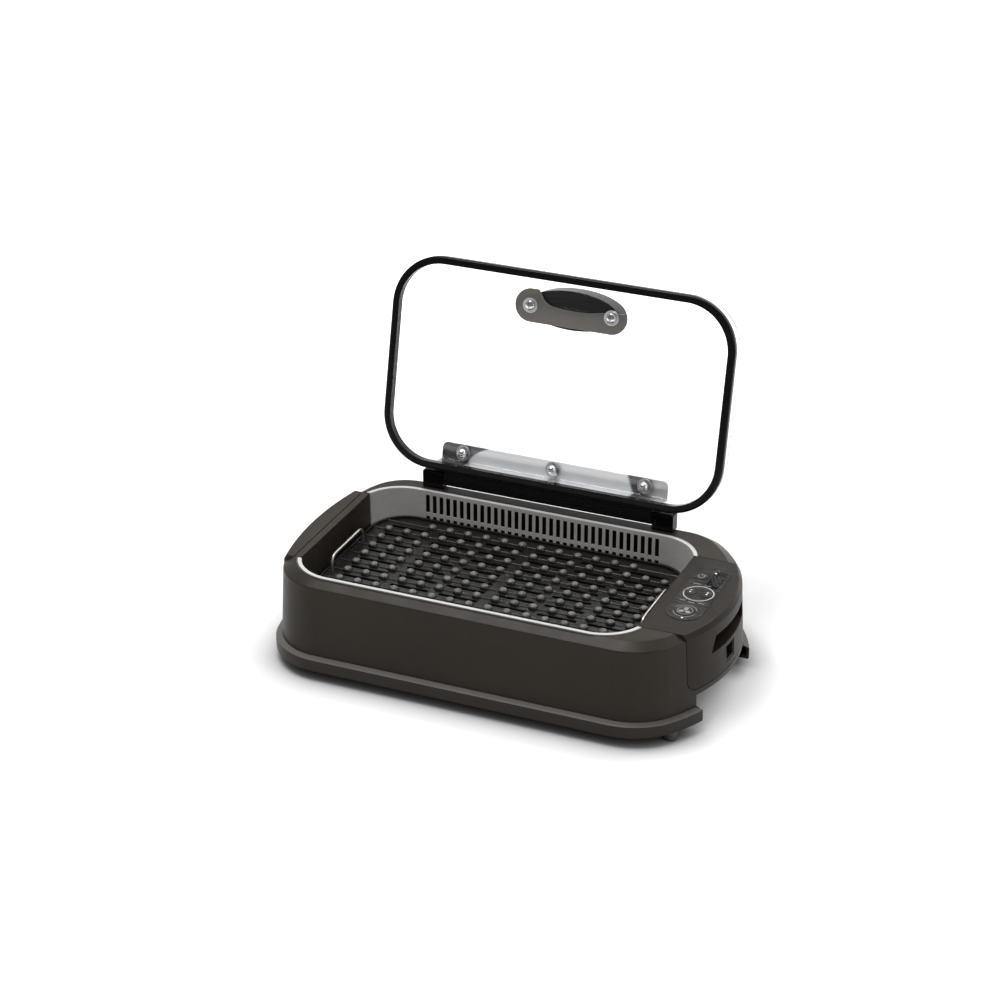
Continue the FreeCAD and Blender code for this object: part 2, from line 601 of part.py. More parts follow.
def make_pan():
    above = RIM_HEIGHT + OVERCUT
    upper = collar(0, PAN_LEDGE_Z, RIM_HEIGHT).cut(collar(-PAN_WALL, PAN_LEDGE_Z + PAN_WALL, above))
    tub_wire = rounded(TUB_HALF_X, TUB_HALF_Y, TUB_RADIUS)
    tub = prism(tub_wire, TUB_FLOOR_Z, PAN_LEDGE_Z + PAN_WALL)
    hollow_wire = rounded(TUB_HALF_X - PAN_WALL, TUB_HALF_Y - PAN_WALL, TUB_RADIUS - PAN_WALL)
    hollow = prism(hollow_wire, TUB_FLOOR_Z + PAN_WALL, above)
    flange = collar(FLANGE_WIDTH, RIM_HEIGHT - PAN_WALL, RIM_HEIGHT)
    flange = flange.cut(collar(-PAN_WALL, PAN_LEDGE_Z, above))
    pan = fuse_all([upper, tub, flange]).cut(hollow)
    half = BLOCK_HALF_WIDTH + SEAM
    outside = COLLAR_HALF_X + FLANGE_WIDTH + OVERCUT
    cuts = []
    for side in (-1, 1):
        x0, x1 = sorted((side * TUB_HALF_X, side * outside))
        cuts.append(box(x0, x1, -half, half, 0, above))
        x0, x1 = sorted((side * (TUB_HALF_X - TUB_RADIUS), side * outside))
        cuts.append(box(x0, x1, -half, half, PAN_LEDGE_Z + PAN_WALL, above))
    for y in (-1.5 * ELEMENT_PITCH, 1.5 * ELEMENT_PITCH):
        reach = ELEMENT_RADIUS + ELEMENT_SLOT_MARGIN
        cuts.append(box(TUB_HALF_X - TUB_RADIUS, TUB_HALF_X + OVERCUT, y - reach, y + reach,
                        ELEMENT_Z - reach, above).cut(hollow))
    slot_top = RIM_HEIGHT - SLOT_DROP
    low_top = slot_top - SLOT_HEIGHT - LOW_SLOT_GAP
    for x in row_of(COLLAR_HALF_X - COLLAR_RADIUS - SLOT_END_MARGIN, SLOT_PITCH, SLOT_X):
        for z1, height in ((slot_top, SLOT_HEIGHT), (low_top, LOW_SLOT_HEIGHT)):
            cuts.append(box(x - SLOT_WIDTH / 2, x + SLOT_WIDTH / 2, COLLAR_HALF_Y - 3 * PAN_WALL,
                            COLLAR_HALF_Y + PAN_WALL, z1 - height, z1))
    return pan.cut(Part.makeCompound(cuts))


def grip_pocket(side, mid_y, margin):
    """A finger pocket in an end block's outer face, its front end slanted."""
    outer = side * BODY_RIGHT * 2
    edge, depth = (BODY_RIGHT, POCKET_DEPTH) if side > 0 else (BODY_LEFT, HANDLE_POCKET_DEPTH)
    inner = side * (edge - depth - margin)
    half = POCKET_HALF_WIDTH + margin
    z0, z1 = POCKET_BOTTOM - margin, POCKET_BOTTOM + POCKET_HEIGHT + margin
    points = [V(inner, mid_y - half, z0), V(inner, mid_y + half, z0), V(inner, mid_y + half, z1),
              V(inner, mid_y - half + POCKET_SLANT, z1)]
    return Part.Face(Part.makePolygon(points + points[:1])).extrude(V(outer - inner, 0, 0))


def make_block(side, bottom, proud, grip_y):
    """A hollow end block with its finger pocket, cut to the body's form."""
    x_in = side * WELL_HALF_LENGTH
    x0, x1 = sorted((x_in, side * BODY_RIGHT * 2))
    shoulder = (BLOCK_SHOULDER, BLOCK_SHOULDER_WIDTH, BLOCK_EDGE)
    form = body_form(-proud, shoulder)
    solid = block_envelope(x0, x1, bottom).common(form)
    i0, i1 = sorted((side * (WELL_HALF_LENGTH + BLOCK_WALL), side * BODY_RIGHT * 2))
    half = BLOCK_HALF_WIDTH - BLOCK_WALL
    hollow = box(i0, i1, -half, half, bottom + BLOCK_WALL, RIM_HEIGHT - BLOCK_WALL)
    hollow = hollow.common(body_form(BLOCK_WALL - proud, shoulder))
    shell = solid.cut(hollow)
    pocket_wall = grip_pocket(side, grip_y, BLOCK_WALL).common(solid)
    return shell.fuse(pocket_wall).cut(grip_pocket(side, grip_y, 0))


def make_left_handle():
    block = make_block(-1, HANDLE_BOTTOM, HANDLE_PROUD, 0)
    groove = box(-HANDLE_GROOVE_X - HANDLE_GROOVE, -HANDLE_GROOVE_X, -BLOCK_HALF_WIDTH, BLOCK_HALF_WIDTH,
                 RIM_HEIGHT - HANDLE_GROOVE, RIM_HEIGHT + OVERCUT)
    return block.cut(groove)


def stadium(length, width, thick, centre):
    """A flat plate with round ends, long along Y."""
    wire = rounded(width / 2, length / 2, width / 2 - 0.01, centre)
    return Part.Face(wire).extrude(V(0, 0, thick))


def keys():
    """Name, place and radius of each key."""
    return {
        "power_key": (V(POWER_X, POWER_Y, 0), POWER_RADIUS),
        "cooler_key": (V(PANEL_X - TEMP_PITCH / 2, TEMP_Y, 0), TEMP_RADIUS),
        "hotter_key": (V(PANEL_X + TEMP_PITCH / 2, TEMP_Y, 0), TEMP_RADIUS),
        "fan_key": (V(PANEL_X, FAN_KEY_Y, 0), FAN_KEY_RADIUS),
    }


def make_module():
    """The control module: shell, cover, panel, display, keys, board, switches and inlet."""
    shell = make_block(1, MODULE_BOTTOM, 0, MODULE_POCKET_Y)
    panel_z = RIM_HEIGHT - PANEL_RECESS
    panel_at = V(PANEL_X, PANEL_Y, panel_z)
    panel = stadium(PANEL_LENGTH, PANEL_WIDTH, PANEL_THICK, panel_at)
    panel_seat = stadium(PANEL_LENGTH + 2 * COVER_GAP, PANEL_WIDTH + 2 * COVER_GAP, PANEL_THICK, panel_at)
    display_at = V(DISPLAY_X, DISPLAY_Y, panel_z)
    display = Part.Face(rounded(DISPLAY_WIDTH / 2, DISPLAY_LENGTH / 2, DISPLAY_RADIUS, display_at))
    display = display.extrude(V(0, 0, PANEL_THICK))
    board_z = RIM_HEIGHT - BLOCK_WALL - SWITCH_HEIGHT - KEY_TRAVEL - KEY_GAP - BOARD_THICK
    board_x0 = WELL_HALF_LENGTH + BLOCK_WALL + BOARD_CLEAR
    board = box(board_x0, board_x0 + BOARD_WIDTH, PANEL_Y - BOARD_LENGTH / 2,
                PANEL_Y + BOARD_LENGTH / 2, board_z, board_z + BOARD_THICK)
    corner_x = (board_x0 + BOARD_POST_RADIUS, board_x0 + BOARD_WIDTH - BOARD_POST_RADIUS)
    corner_y = [PANEL_Y + s * (BOARD_LENGTH / 2 - BOARD_POST_RADIUS) for s in (-1, 1)]
    posts = [rod(BOARD_POST_RADIUS, V(x, y, board_z + BOARD_THICK), Z,
                 RIM_HEIGHT - BLOCK_WALL - board_z - BOARD_THICK) for x in corner_x for y in corner_y]
    nodes, holes, switches = {}, [panel_seat], []
    for name, (place, radius) in keys().items():
        top = panel_z + PANEL_THICK + KEY_PROUD
        switch_top = board_z + BOARD_THICK + SWITCH_HEIGHT
        cap = rod(radius, place + V(0, 0, panel_z + KEY_TRAVEL), Z, top - panel_z - KEY_TRAVEL)
        rim = [e for e in cap.Edges if e.CenterOfMass.z > top - 0.01 and e.Length > 1]
        cap = cap.makeFillet(KEY_PROUD / 2, rim)
        stem_z = switch_top + KEY_TRAVEL
        stem = rod(KEY_STEM_RADIUS, place + V(0, 0, stem_z), Z, panel_z + KEY_TRAVEL - stem_z)
        nodes[name] = cap.fuse(stem)
        panel = panel.cut(rod(radius + KEY_GAP, place + V(0, 0, board_z), Z, RIM_HEIGHT))
        holes.append(rod(KEY_STEM_RADIUS + KEY_GAP, place + V(0, 0, board_z), Z, RIM_HEIGHT - board_z))
        half = SWITCH_SIZE / 2
        switches.append(box(place.x - half, place.x + half, place.y - half, place.y + half,
                            board_z + BOARD_THICK, switch_top))
    inlet_face = BODY_RIGHT - INLET_RECESS
    y0, y1 = INLET_Y - INLET_WIDTH / 2, INLET_Y + INLET_WIDTH / 2
    z0, z1 = INLET_Z - INLET_HEIGHT / 2, INLET_Z + INLET_HEIGHT / 2
    holes.append(box(inlet_face - INLET_BODY_DEPTH, BODY_RIGHT * 2, y0 - COVER_GAP, y1 + COVER_GAP,
                     z0 - COVER_GAP, z1 + COVER_GAP))
    socket = box(inlet_face - INLET_BODY_DEPTH, inlet_face, y0, y1, z0, z1)
    mouth = box(inlet_face, BODY_RIGHT * 2, y0, y1, z0, z1).common(body_form(BLOCK_WALL / 4))
    mouth = mouth.cut(box(inlet_face, BODY_RIGHT * 2, y0 + INLET_LIP, y1 - INLET_LIP, z0 + INLET_LIP,
                          z1 - INLET_LIP))
    pin_spots = [V(inlet_face - PIN_ROOT, INLET_Y + dy, INLET_Z + dz)
                 for dy, dz in ((-PIN_PITCH / 2, PIN_RISE), (PIN_PITCH / 2, PIN_RISE), (0, -EARTH_DROP))]
    pins = [rod(PIN_RADIUS, p, X, PIN_ROOT + PIN_PROUD) for p in pin_spots]
    socket = socket.fuse(mouth).removeSplitter().cut(Part.makeCompound(pins))
    cover_x0 = WELL_HALF_LENGTH + BLOCK_WALL + COVER_INSET
    cover = box(cover_x0, cover_x0 + COVER_LENGTH, -COVER_HALF_WIDTH, COVER_HALF_WIDTH,
                MODULE_BOTTOM, MODULE_BOTTOM + BLOCK_WALL)
    holes.append(box(cover_x0 - COVER_GAP, cover_x0 + COVER_LENGTH + COVER_GAP,
                     -COVER_HALF_WIDTH - COVER_GAP, COVER_HALF_WIDTH + COVER_GAP,
                     MODULE_BOTTOM - OVERCUT, MODULE_BOTTOM + BLOCK_WALL))
    lip_half = COVER_HALF_WIDTH + COVER_LIP
    lip_z = MODULE_BOTTOM + BLOCK_WALL
    cover_lip = box(cover_x0 - COVER_LIP, cover_x0 + COVER_LENGTH + COVER_LIP, -lip_half, lip_half, lip_z,
                    lip_z + COVER_LIP_THICK)
    holes += [rod(BUSH_RADIUS, V(WELL_HALF_LENGTH - OVERCUT, y, ELEMENT_Z), X, BUSH_LENGTH + OVERCUT)
              for y in (-1.5 * ELEMENT_PITCH, 1.5 * ELEMENT_PITCH)]
    shell = fuse_all([shell] + posts).cut(Part.makeCompound(holes))
    contacts = [rod(CONTACT_RADIUS, p + V(0, 0, MODULE_BOTTOM - CONTACT_REACH), Z,
                    CONTACT_REACH + BLOCK_WALL * 2) for p in contact_places()]
    nodes["contact_pins"] = Part.makeCompound(contacts)
    nodes.update({
        "module_shell": shell,
        "module_cover": cover.fuse(cover_lip).removeSplitter().cut(nodes["contact_pins"]),
        "control_panel": panel.cut(display),
        "display_window": display,
        "control_board": board,
        "key_switches": Part.makeCompound(switches),
        "inlet_socket": socket,
        "inlet_pins": Part.makeCompound(pins),
    })
    return nodes


def element_path():
    """Centre line of the heating element: four runs and three half turns, both ends in the module."""
    ys = [(i - 1.5) * ELEMENT_PITCH for i in range(4)]
    end_x = WELL_HALF_LENGTH + BLOCK_WALL + ELEMENT_END
    xs = [end_x, ELEMENT_LEFT, ELEMENT_RIGHT, ELEMENT_LEFT, end_x]
    edges = []
    for i, y in enumerate(ys):
        a, b = V(xs[i], y, ELEMENT_Z), V(xs[i + 1], y, ELEMENT_Z)
        edges.append(Part.makeLine(a, b))
        if i < 3:
            out = math.copysign(ELEMENT_PITCH / 2, b.x - a.x)
            mid = b + V(out, ELEMENT_PITCH / 2, 0)
            edges.append(Part.Arc(b, mid, b + V(0, ELEMENT_PITCH, 0)).toShape())
    return Part.Wire(edges)


def make_element():
    path = element_path()
    start = path.Edges[0].Vertexes[0].Point
    ring = Part.Wire(Part.makeCircle(ELEMENT_RADIUS, start, X))
    tube = path.makePipeShell([ring], True, False)
    reach = 1.5 * ELEMENT_PITCH + ELEMENT_RADIUS
    low = ELEMENT_Z - ELEMENT_RADIUS - BRACE_THICK
    braces = [box(x - BRACE_WIDTH / 2, x + BRACE_WIDTH / 2, -reach, reach, low, low + BRACE_THICK)
              for x in (-BRACE_X, 0, BRACE_X)]
    bushes = []
    for y in (-1.5 * ELEMENT_PITCH, 1.5 * ELEMENT_PITCH):
        at = V(WELL_HALF_LENGTH, y, ELEMENT_Z)
        bush = rod(BUSH_RADIUS, at, X, BUSH_LENGTH)
        bushes.append(bush.cut(rod(ELEMENT_RADIUS, at, X, BUSH_LENGTH)))
    return {
        "heating_element": tube,
        "element_braces": Part.makeCompound(braces),
        "element_bushes": Part.makeCompound(bushes),
    }


def make_plate():
    slab = prism(rounded(PLATE_HALF_X, PLATE_HALF_Y, PLATE_RADIUS), PLATE_Z, PLATE_TOP)
    rim_in = rounded(PLATE_HALF_X - PLATE_RIM, PLATE_HALF_Y - PLATE_RIM, PLATE_RADIUS - PLATE_RIM)
    rim = prism(rounded(PLATE_HALF_X, PLATE_HALF_Y, PLATE_RADIUS), PLATE_TOP, PLATE_TOP + PLATE_RIM_RISE)
    rim = rim.cut(prism(rim_in, PLATE_TOP, PLATE_TOP + PLATE_RIM_RISE))
    field = prism(rim_in, PLATE_Z, PLATE_TOP + BUMP_RISE)
    ys = row_of(PLATE_HALF_Y - BAR_MARGIN + BAR_PITCH / 2, BAR_PITCH)
    bars, drains = [], []
    for y in ys:
        points = [V(0, y - BAR_WIDTH / 2, PLATE_Z), V(0, y - BAR_WIDTH / 2, PLATE_TOP),
                  V(0, y + BAR_WIDTH / 2, PLATE_TOP), V(0, y + BAR_WIDTH / 2, PLATE_Z)]
        crown = Part.Arc(points[1], V(0, y, PLATE_TOP + BAR_RISE), points[2]).toShape()
        side = Part.makePolygon([points[2], points[3], points[0], points[1]])
        bar = Part.Face(Part.Wire([crown] + side.Edges)).extrude(V(2 * PLATE_HALF_X, 0, 0))
        bar.translate(V(-PLATE_HALF_X, 0, 0))
        bars.append(bar.common(field))
    for y in [(a + b) / 2 for a, b in zip(ys, ys[1:])]:
        for x in row_of(PLATE_HALF_X - DRAIN_MARGIN, DRAIN_PITCH):
            drains.append(box(x - DRAIN_LENGTH / 2, x + DRAIN_LENGTH / 2, y - DRAIN_WIDTH / 2,
                              y + DRAIN_WIDTH / 2, PLATE_Z, PLATE_TOP + OVERCUT))
    ball_radius = (BUMP_RADIUS**2 + BUMP_RISE**2) / (2 * BUMP_RISE)
    bumps = []
    for y in ys:
        for x in row_of(PLATE_HALF_X - BUMP_MARGIN + BUMP_PITCH / 2, BUMP_PITCH):
            if abs(x) + BUMP_RADIUS > PLATE_HALF_X - PLATE_RADIUS and abs(y) > PLATE_HALF_Y - PLATE_RADIUS / 2:
                continue
            ball = Part.makeSphere(ball_radius, V(x, y, PLATE_TOP + BUMP_RISE - ball_radius), Z, 0, 90, 360)
            bumps.append(ball.common(box(x - BUMP_RADIUS, x + BUMP_RADIUS, y - BUMP_RADIUS, y + BUMP_RADIUS,
                                         PLATE_Z, PLATE_TOP + BUMP_RISE)))
    plate = slab.multiFuse([rim] + bars + bumps).cut(Part.makeCompound(drains))
    nodes = {}
    for name, side in (("plate_handle_left", -1), ("plate_handle_right", 1)):
        bail = make_bail(side * BAIL_X)
        plate = plate.cut(bail)
        nodes[name] = bail
    nodes["grill_plate"] = plate
    return nodes


def make_bail(x):
    """A wire lifting handle standing in two holes of the plate."""
    low, high = PLATE_Z, PLATE_TOP + BAIL_RISE - WIRE_RADIUS
    half, r = BAIL_HALF_WIDTH - WIRE_RADIUS, BAIL_CORNER_RADIUS
    turn = r * (1 - math.sqrt(0.5))
    edges = [
        Part.makeLine(V(x, -half, low), V(x, -half, high - r)),
        Part.Arc(V(x, -half, high - r), V(x, -half + turn, high - turn), V(x, -half + r, high)).toShape(),
        Part.makeLine(V(x, -half + r, high), V(x, half - r, high)),
        Part.Arc(V(x, half - r, high), V(x, half - turn, high - turn), V(x, half, high - r)).toShape(),
        Part.makeLine(V(x, half, high - r), V(x, half, low)),
    ]
    ring = Part.Wire(Part.makeCircle(WIRE_RADIUS, V(x, -half, low), Z))
    return Part.Wire(edges).makePipeShell([ring], True, False)


def make_fan():
    centre = V(0, FAN_Y, 0)
    half = FAN_SIZE / 2
    z0 = BASE_TOP
    frame = prism(rounded(half, half, FAN_CORNER_RADIUS, centre), z0, z0 + FAN_HEIGHT)
    frame = frame.cut(rod(FAN_BORE_RADIUS, centre + V(0, 0, z0), Z, FAN_HEIGHT))
    struts = []
    for turn in (45, 135):
        strut = box(-FAN_BORE_RADIUS - OVERCUT, FAN_BORE_RADIUS + OVERCUT, -FAN_STRUT / 2, FAN_STRUT / 2,
                    z0, z0 + FAN_STRUT_THICK)
        strut.rotate(V(0, 0, 0), Z, turn)
        strut.translate(centre)
        struts.append(strut)
    seat = rod(MOTOR_RADIUS + MOTOR_SEAT_EDGE, centre + V(0, 0, z0), Z, FAN_STRUT_THICK)
    frame = fuse_all([frame, seat] + struts)
    frame = frame.cut(Part.makeCompound([rod(SCREW_RADIUS, p + V(0, 0, z0), Z, FAN_HEIGHT)
                                         for p in fan_corners()]))
    motor_z = z0 + FAN_STRUT_THICK
    motor_top = motor_z + MOTOR_HEIGHT
    motor = rod(MOTOR_RADIUS, centre + V(0, 0, motor_z), Z, MOTOR_HEIGHT)
    motor = motor.cut(rod(SHAFT_RADIUS + SHAFT_GAP, centre + V(0, 0, motor_top - SHAFT_DEPTH), Z, SHAFT_DEPTH))
    hub_z = motor_top + HUB_GAP
    hub = rod(HUB_RADIUS, centre + V(0, 0, hub_z), Z, HUB_HEIGHT)
    shaft = rod(SHAFT_RADIUS, centre + V(0, 0, hub_z - SHAFT_DEPTH), Z, SHAFT_DEPTH + OVERCUT)
    tip = FAN_BORE_RADIUS - FAN_TIP_GAP
    blades = []
    for i in range(BLADE_COUNT):
        blade = box(HUB_RADIUS - OVERCUT, tip, -BLADE_CHORD / 2, BLADE_CHORD / 2, -BLADE_THICK / 2, BLADE_THICK / 2)
        blade.rotate(V(0, 0, 0), X, BLADE_ANGLE)
        blade.rotate(V(0, 0, 0), Z, i * 360 / BLADE_COUNT)
        blade.translate(centre + V(0, 0, hub_z + HUB_HEIGHT / 2))
        blades.append(blade)
    sweep = rod(tip, centre + V(0, 0, hub_z - HUB_HEIGHT), Z, 3 * HUB_HEIGHT)
    impeller = fuse_all([hub, shaft] + [b.common(sweep) for b in blades])
    screws = []
    for p in fan_corners():
        shank = rod(SCREW_RADIUS, p + V(0, 0, FOOT_HEIGHT), Z, z0 + FAN_HEIGHT - FOOT_HEIGHT)
        head = rod(SCREW_HEAD_RADIUS, p + V(0, 0, z0 + FAN_HEIGHT), Z, SCREW_HEAD)
        screws.append(shank.fuse(head).removeSplitter())
    return {
        "fan_frame": frame,
        "fan_motor": motor,
        "fan_impeller": impeller,
        "fan_screws": Part.makeCompound(screws),
    }


def contact_places():
    return [V(CONTACT_X, FAN_Y + s * CONTACT_PITCH / 2, 0) for s in (-1, 1)]


def make_contacts():
    """The block on the base that the module's contacts plug into, and the lead from it to the fan."""
    top = MODULE_BOTTOM - LIFT_GAP
    block = box(CONTACT_X - CONTACT_LENGTH / 2, CONTACT_X + CONTACT_LENGTH / 2, FAN_Y - CONTACT_WIDTH / 2,
                FAN_Y + CONTACT_WIDTH / 2, BASE_TOP, top)
    block = block.makeFillet(CONTACT_GAP * 4, [e for e in block.Edges if upright(e)])
    sockets = [rod(CONTACT_RADIUS + CONTACT_GAP, p + V(0, 0, top - CONTACT_REACH), Z, CONTACT_REACH)
               for p in contact_places()]
    lead_x0 = FAN_SIZE / 2
    lead = rod(LEAD_RADIUS, V(lead_x0, FAN_Y, BASE_TOP + LEAD_RADIUS), X,
               CONTACT_X - CONTACT_LENGTH / 2 - lead_x0)
    return {"contact_block": block.cut(Part.makeCompound(sockets)), "fan_lead": lead}


def make_feet():
    nodes = {}
    for name, place in foot_places().items():
        pad = Part.makeCone(FOOT_TIP_RADIUS, FOOT_TOP_RADIUS, FOOT_HEIGHT, place, Z)
        peg = rod(FOOT_PEG_RADIUS, place, Z, FOOT_HEIGHT + BASE_FLOOR)
        nodes[name] = pad.fuse(peg).removeSplitter()
    return nodes


def make_base_screws():
    screws = []
    for p in boss_places():
        head = rod(SCREW_HEAD_RADIUS, p + V(0, 0, FOOT_HEIGHT), Z, SCREW_HEAD)
        shank = rod(SCREW_RADIUS, p + V(0, 0, FOOT_HEIGHT), Z,
                    WALL_BOTTOM + BOSS_DEPTH - 2 * BOSS_CAP - FOOT_HEIGHT)
        screws.append(head.fuse(shank).removeSplitter())
    return Part.makeCompound(screws)


def make_hinge_mount():
    """Two hinge blocks that stand in sockets at the rear of the housing, and their pins."""
    inner, outer = hinge_span()
    nodes, pins = {}, []
    for name, side in (("hinge_block_left", -1), ("hinge_block_right", 1)):
        x0, x1 = sorted((HINGE_X + side * inner, HINGE_X + side * outer))
        block = box(x0, x1, HINGE_Y - HINGE_BLOCK_FRONT, HINGE_Y + HINGE_BLOCK_BACK,
                    RIM_HEIGHT + LIFT_GAP, HINGE_Z + HINGE_BLOCK_RISE)
        tops = [e for e in block.Edges if e.CenterOfMass.z > HINGE_Z]
        block = block.makeFillet(HINGE_BLOCK_EDGE, tops)
        block = block.fuse(leg_box(side, 0, LEG_DROP - LIFT_GAP)).removeSplitter()
        pin_in = BARREL_HALF_LENGTH - PIN_HINGE_REACH
        start = V(HINGE_X + side * pin_in, HINGE_Y, HINGE_Z)
        pin = rod(PIN_HINGE_RADIUS, start, X * side, outer - pin_in - PIN_HINGE_COVER)
        nodes[name] = block.cut(pin)
        pins.append(pin)
    nodes["hinge_pins"] = Part.makeCompound(pins)
    return nodes


def lid_wire(inset, height):
    """The lid's outline moved in by an inset, at a height above the lid's lower face."""
    return rounded(LID_HALF_LENGTH - inset, LID_DEPTH / 2 - inset, LID_RADIUS - inset,
                   V(HINGE_X, LID_MID_Y, LID_Z + height))


def lid_prism(inset, z0, z1):
    return Part.Face(lid_wire(inset, z0)).extrude(V(0, 0, z1 - z0))


def slope_inset(height):
    """Distance from the lid's edge to the glass's outer slope at a height."""
    return GLASS_SLOPE_INSET + (height - GLASS_FLANGE_Z - GLASS_THICK) / math.tan(SLOPE)


def frustum(z0, inset0, z1, inset1, edge):
    """A lid-shaped frustum with its upper edge rounded."""
    shape = Part.makeLoft([lid_wire(inset0, z0), lid_wire(inset1, z1)], True, True)
    top = [e for e in shape.Edges if e.BoundBox.ZMin > LID_Z + z1 - 0.01]
    return shape.makeFillet(edge, top)


def make_glass():
    z0, z1 = GLASS_FLANGE_Z, DOME_HEIGHT
    through = GLASS_THICK / math.sin(SLOPE)
    outer = frustum(z0, slope_inset(z0), z1, slope_inset(z1), DOME_EDGE)
    top_in = z1 - GLASS_THICK
    inner = frustum(z0, slope_inset(z0) + through, top_in, slope_inset(top_in) + through, DOME_INNER_EDGE)
    flange = lid_prism(GLASS_INSET, z0, z0 + GLASS_THICK)
    return outer.fuse(flange).removeSplitter().cut(inner)


def make_trim(glass):
    ring = lid_prism(0, 0, TRIM_THICK)
    ring = ring.makeFillet(TRIM_EDGE, [e for e in ring.Edges if not upright(e)])
    ring = ring.cut(lid_prism(TRIM_WIDTH, 0, TRIM_THICK))
    return ring.cut(glass)


def lid_point(inset, height):
    """A point of the closed lid from the distance in from its rear edge and height above its lower face."""
    return V(HINGE_X, LID_REAR - inset, LID_Z + height)


def make_bracket():
    """A stainless strip from the barrel over the trim, up the glass's rear wall and onto its flat top."""
    low, high = TRIM_THICK + BRACKET_GAP, DOME_HEIGHT + BRACKET_GAP
    beside = BRACKET_GAP / math.sin(SLOPE)
    path = [(BARREL_SIZE / 4 - LID_SETBACK, low), (slope_inset(low) - beside, low),
            (slope_inset(high) - beside, high), (BRACKET_REACH, high)]
    shift = BRACKET_THICK * math.tan(SLOPE / 2)
    outer = [(path[0][0], low + BRACKET_THICK), (path[1][0] - shift, low + BRACKET_THICK),
             (path[2][0] - shift, high + BRACKET_THICK), (BRACKET_REACH, high + BRACKET_THICK)]
    ring = [lid_point(*p) for p in path + outer[::-1]]
    strip = Part.Face(Part.makePolygon(ring + ring[:1])).extrude(V(2 * BRACKET_HALF_LENGTH, 0, 0))
    strip.translate(V(BRACKET_X - HINGE_X - BRACKET_HALF_LENGTH, 0, 0))
    tip = lid_point(BRACKET_REACH, high)
    corners = [e for e in strip.Edges if upright(e) and abs(e.CenterOfMass.y - tip.y) < OVERCUT / 10]
    strip = strip.makeFillet(BRACKET_CORNER, corners)
    for side in (-1, 1):
        x0, x1 = sorted((HINGE_X + side * BRACKET_NECK, HINGE_X + side * BRACKET_HALF_LENGTH * 2))
        strip = strip.cut(box(x0, x1, LID_REAR, HINGE_Y + BARREL_SIZE, LID_Z, LID_Z + DOME_HEIGHT))
    return strip


def make_lid():
    glass = make_glass()
    trim = make_trim(glass)
    bracket = make_bracket()
    half = BARREL_SIZE / 2
    barrel = box(HINGE_X - BARREL_HALF_LENGTH, HINGE_X + BARREL_HALF_LENGTH, LID_REAR + BARREL_CLEAR,
                 HINGE_Y + HINGE_RISE - BARREL_SLIT, HINGE_Z - half, HINGE_Z + half)
    barrel = barrel.makeFillet(BARREL_EDGE, [e for e in barrel.Edges
                                             if abs(e.tangentAt(e.FirstParameter).x) > 0.99])
    bores = [rod(PIN_HINGE_RADIUS + RUN_GAP, V(HINGE_X + side * BARREL_HALF_LENGTH, HINGE_Y, HINGE_Z), X * -side,
                 PIN_HINGE_REACH + OVERCUT) for side in (-1, 1)]
    barrel = barrel.cut(Part.makeCompound(bores)).cut(bracket)
    fasteners, bolt_holes = [], []
    for i in (-1, 0, 1):
        aside = V(BRACKET_X - HINGE_X + i * BOLT_PITCH, 0, 0)
        seat = lid_point(BOLT_INSET, DOME_HEIGHT + BRACKET_GAP + BRACKET_THICK) + aside
        inside = lid_point(BOLT_INSET, DOME_HEIGHT - GLASS_THICK) + aside
        bolt_holes.append(rod(BOLT_RADIUS + BOLT_HOLE_GAP, inside, Z, seat.z - inside.z))
        nut_end = inside - Z * (WASHER_THICK + NUT_HEIGHT)
        head = rod(BOLT_HEAD_RADIUS, seat, Z, BOLT_HEAD)
        shank = rod(BOLT_RADIUS, nut_end, Z, seat.z - nut_end.z)
        washer = rod(WASHER_RADIUS, inside - Z * WASHER_THICK, Z, WASHER_THICK)
        nut = rod(NUT_RADIUS, nut_end, Z, NUT_HEIGHT)
        crown = Part.makeSphere(CAP_RADIUS, nut_end).common(rod(NUT_RADIUS, nut_end, -Z, NUT_RADIUS))
        fasteners += [head.fuse(shank), washer.cut(shank), nut.fuse(crown).cut(shank)]
    glass = glass.cut(Part.makeCompound(bolt_holes))
    bracket = bracket.cut(Part.makeCompound(bolt_holes))
    nodes = {
        "lid_trim": trim,
        "hinge_bracket": bracket,
        "hinge_barrel": barrel,
        "bracket_fasteners": Part.makeCompound(fasteners),
    }
    nodes.update(make_grip(glass))
    for shape in nodes.values():
        shape.rotate(V(0, HINGE_Y, HINGE_Z), X, -LID_OPEN_DEG)
    return nodes


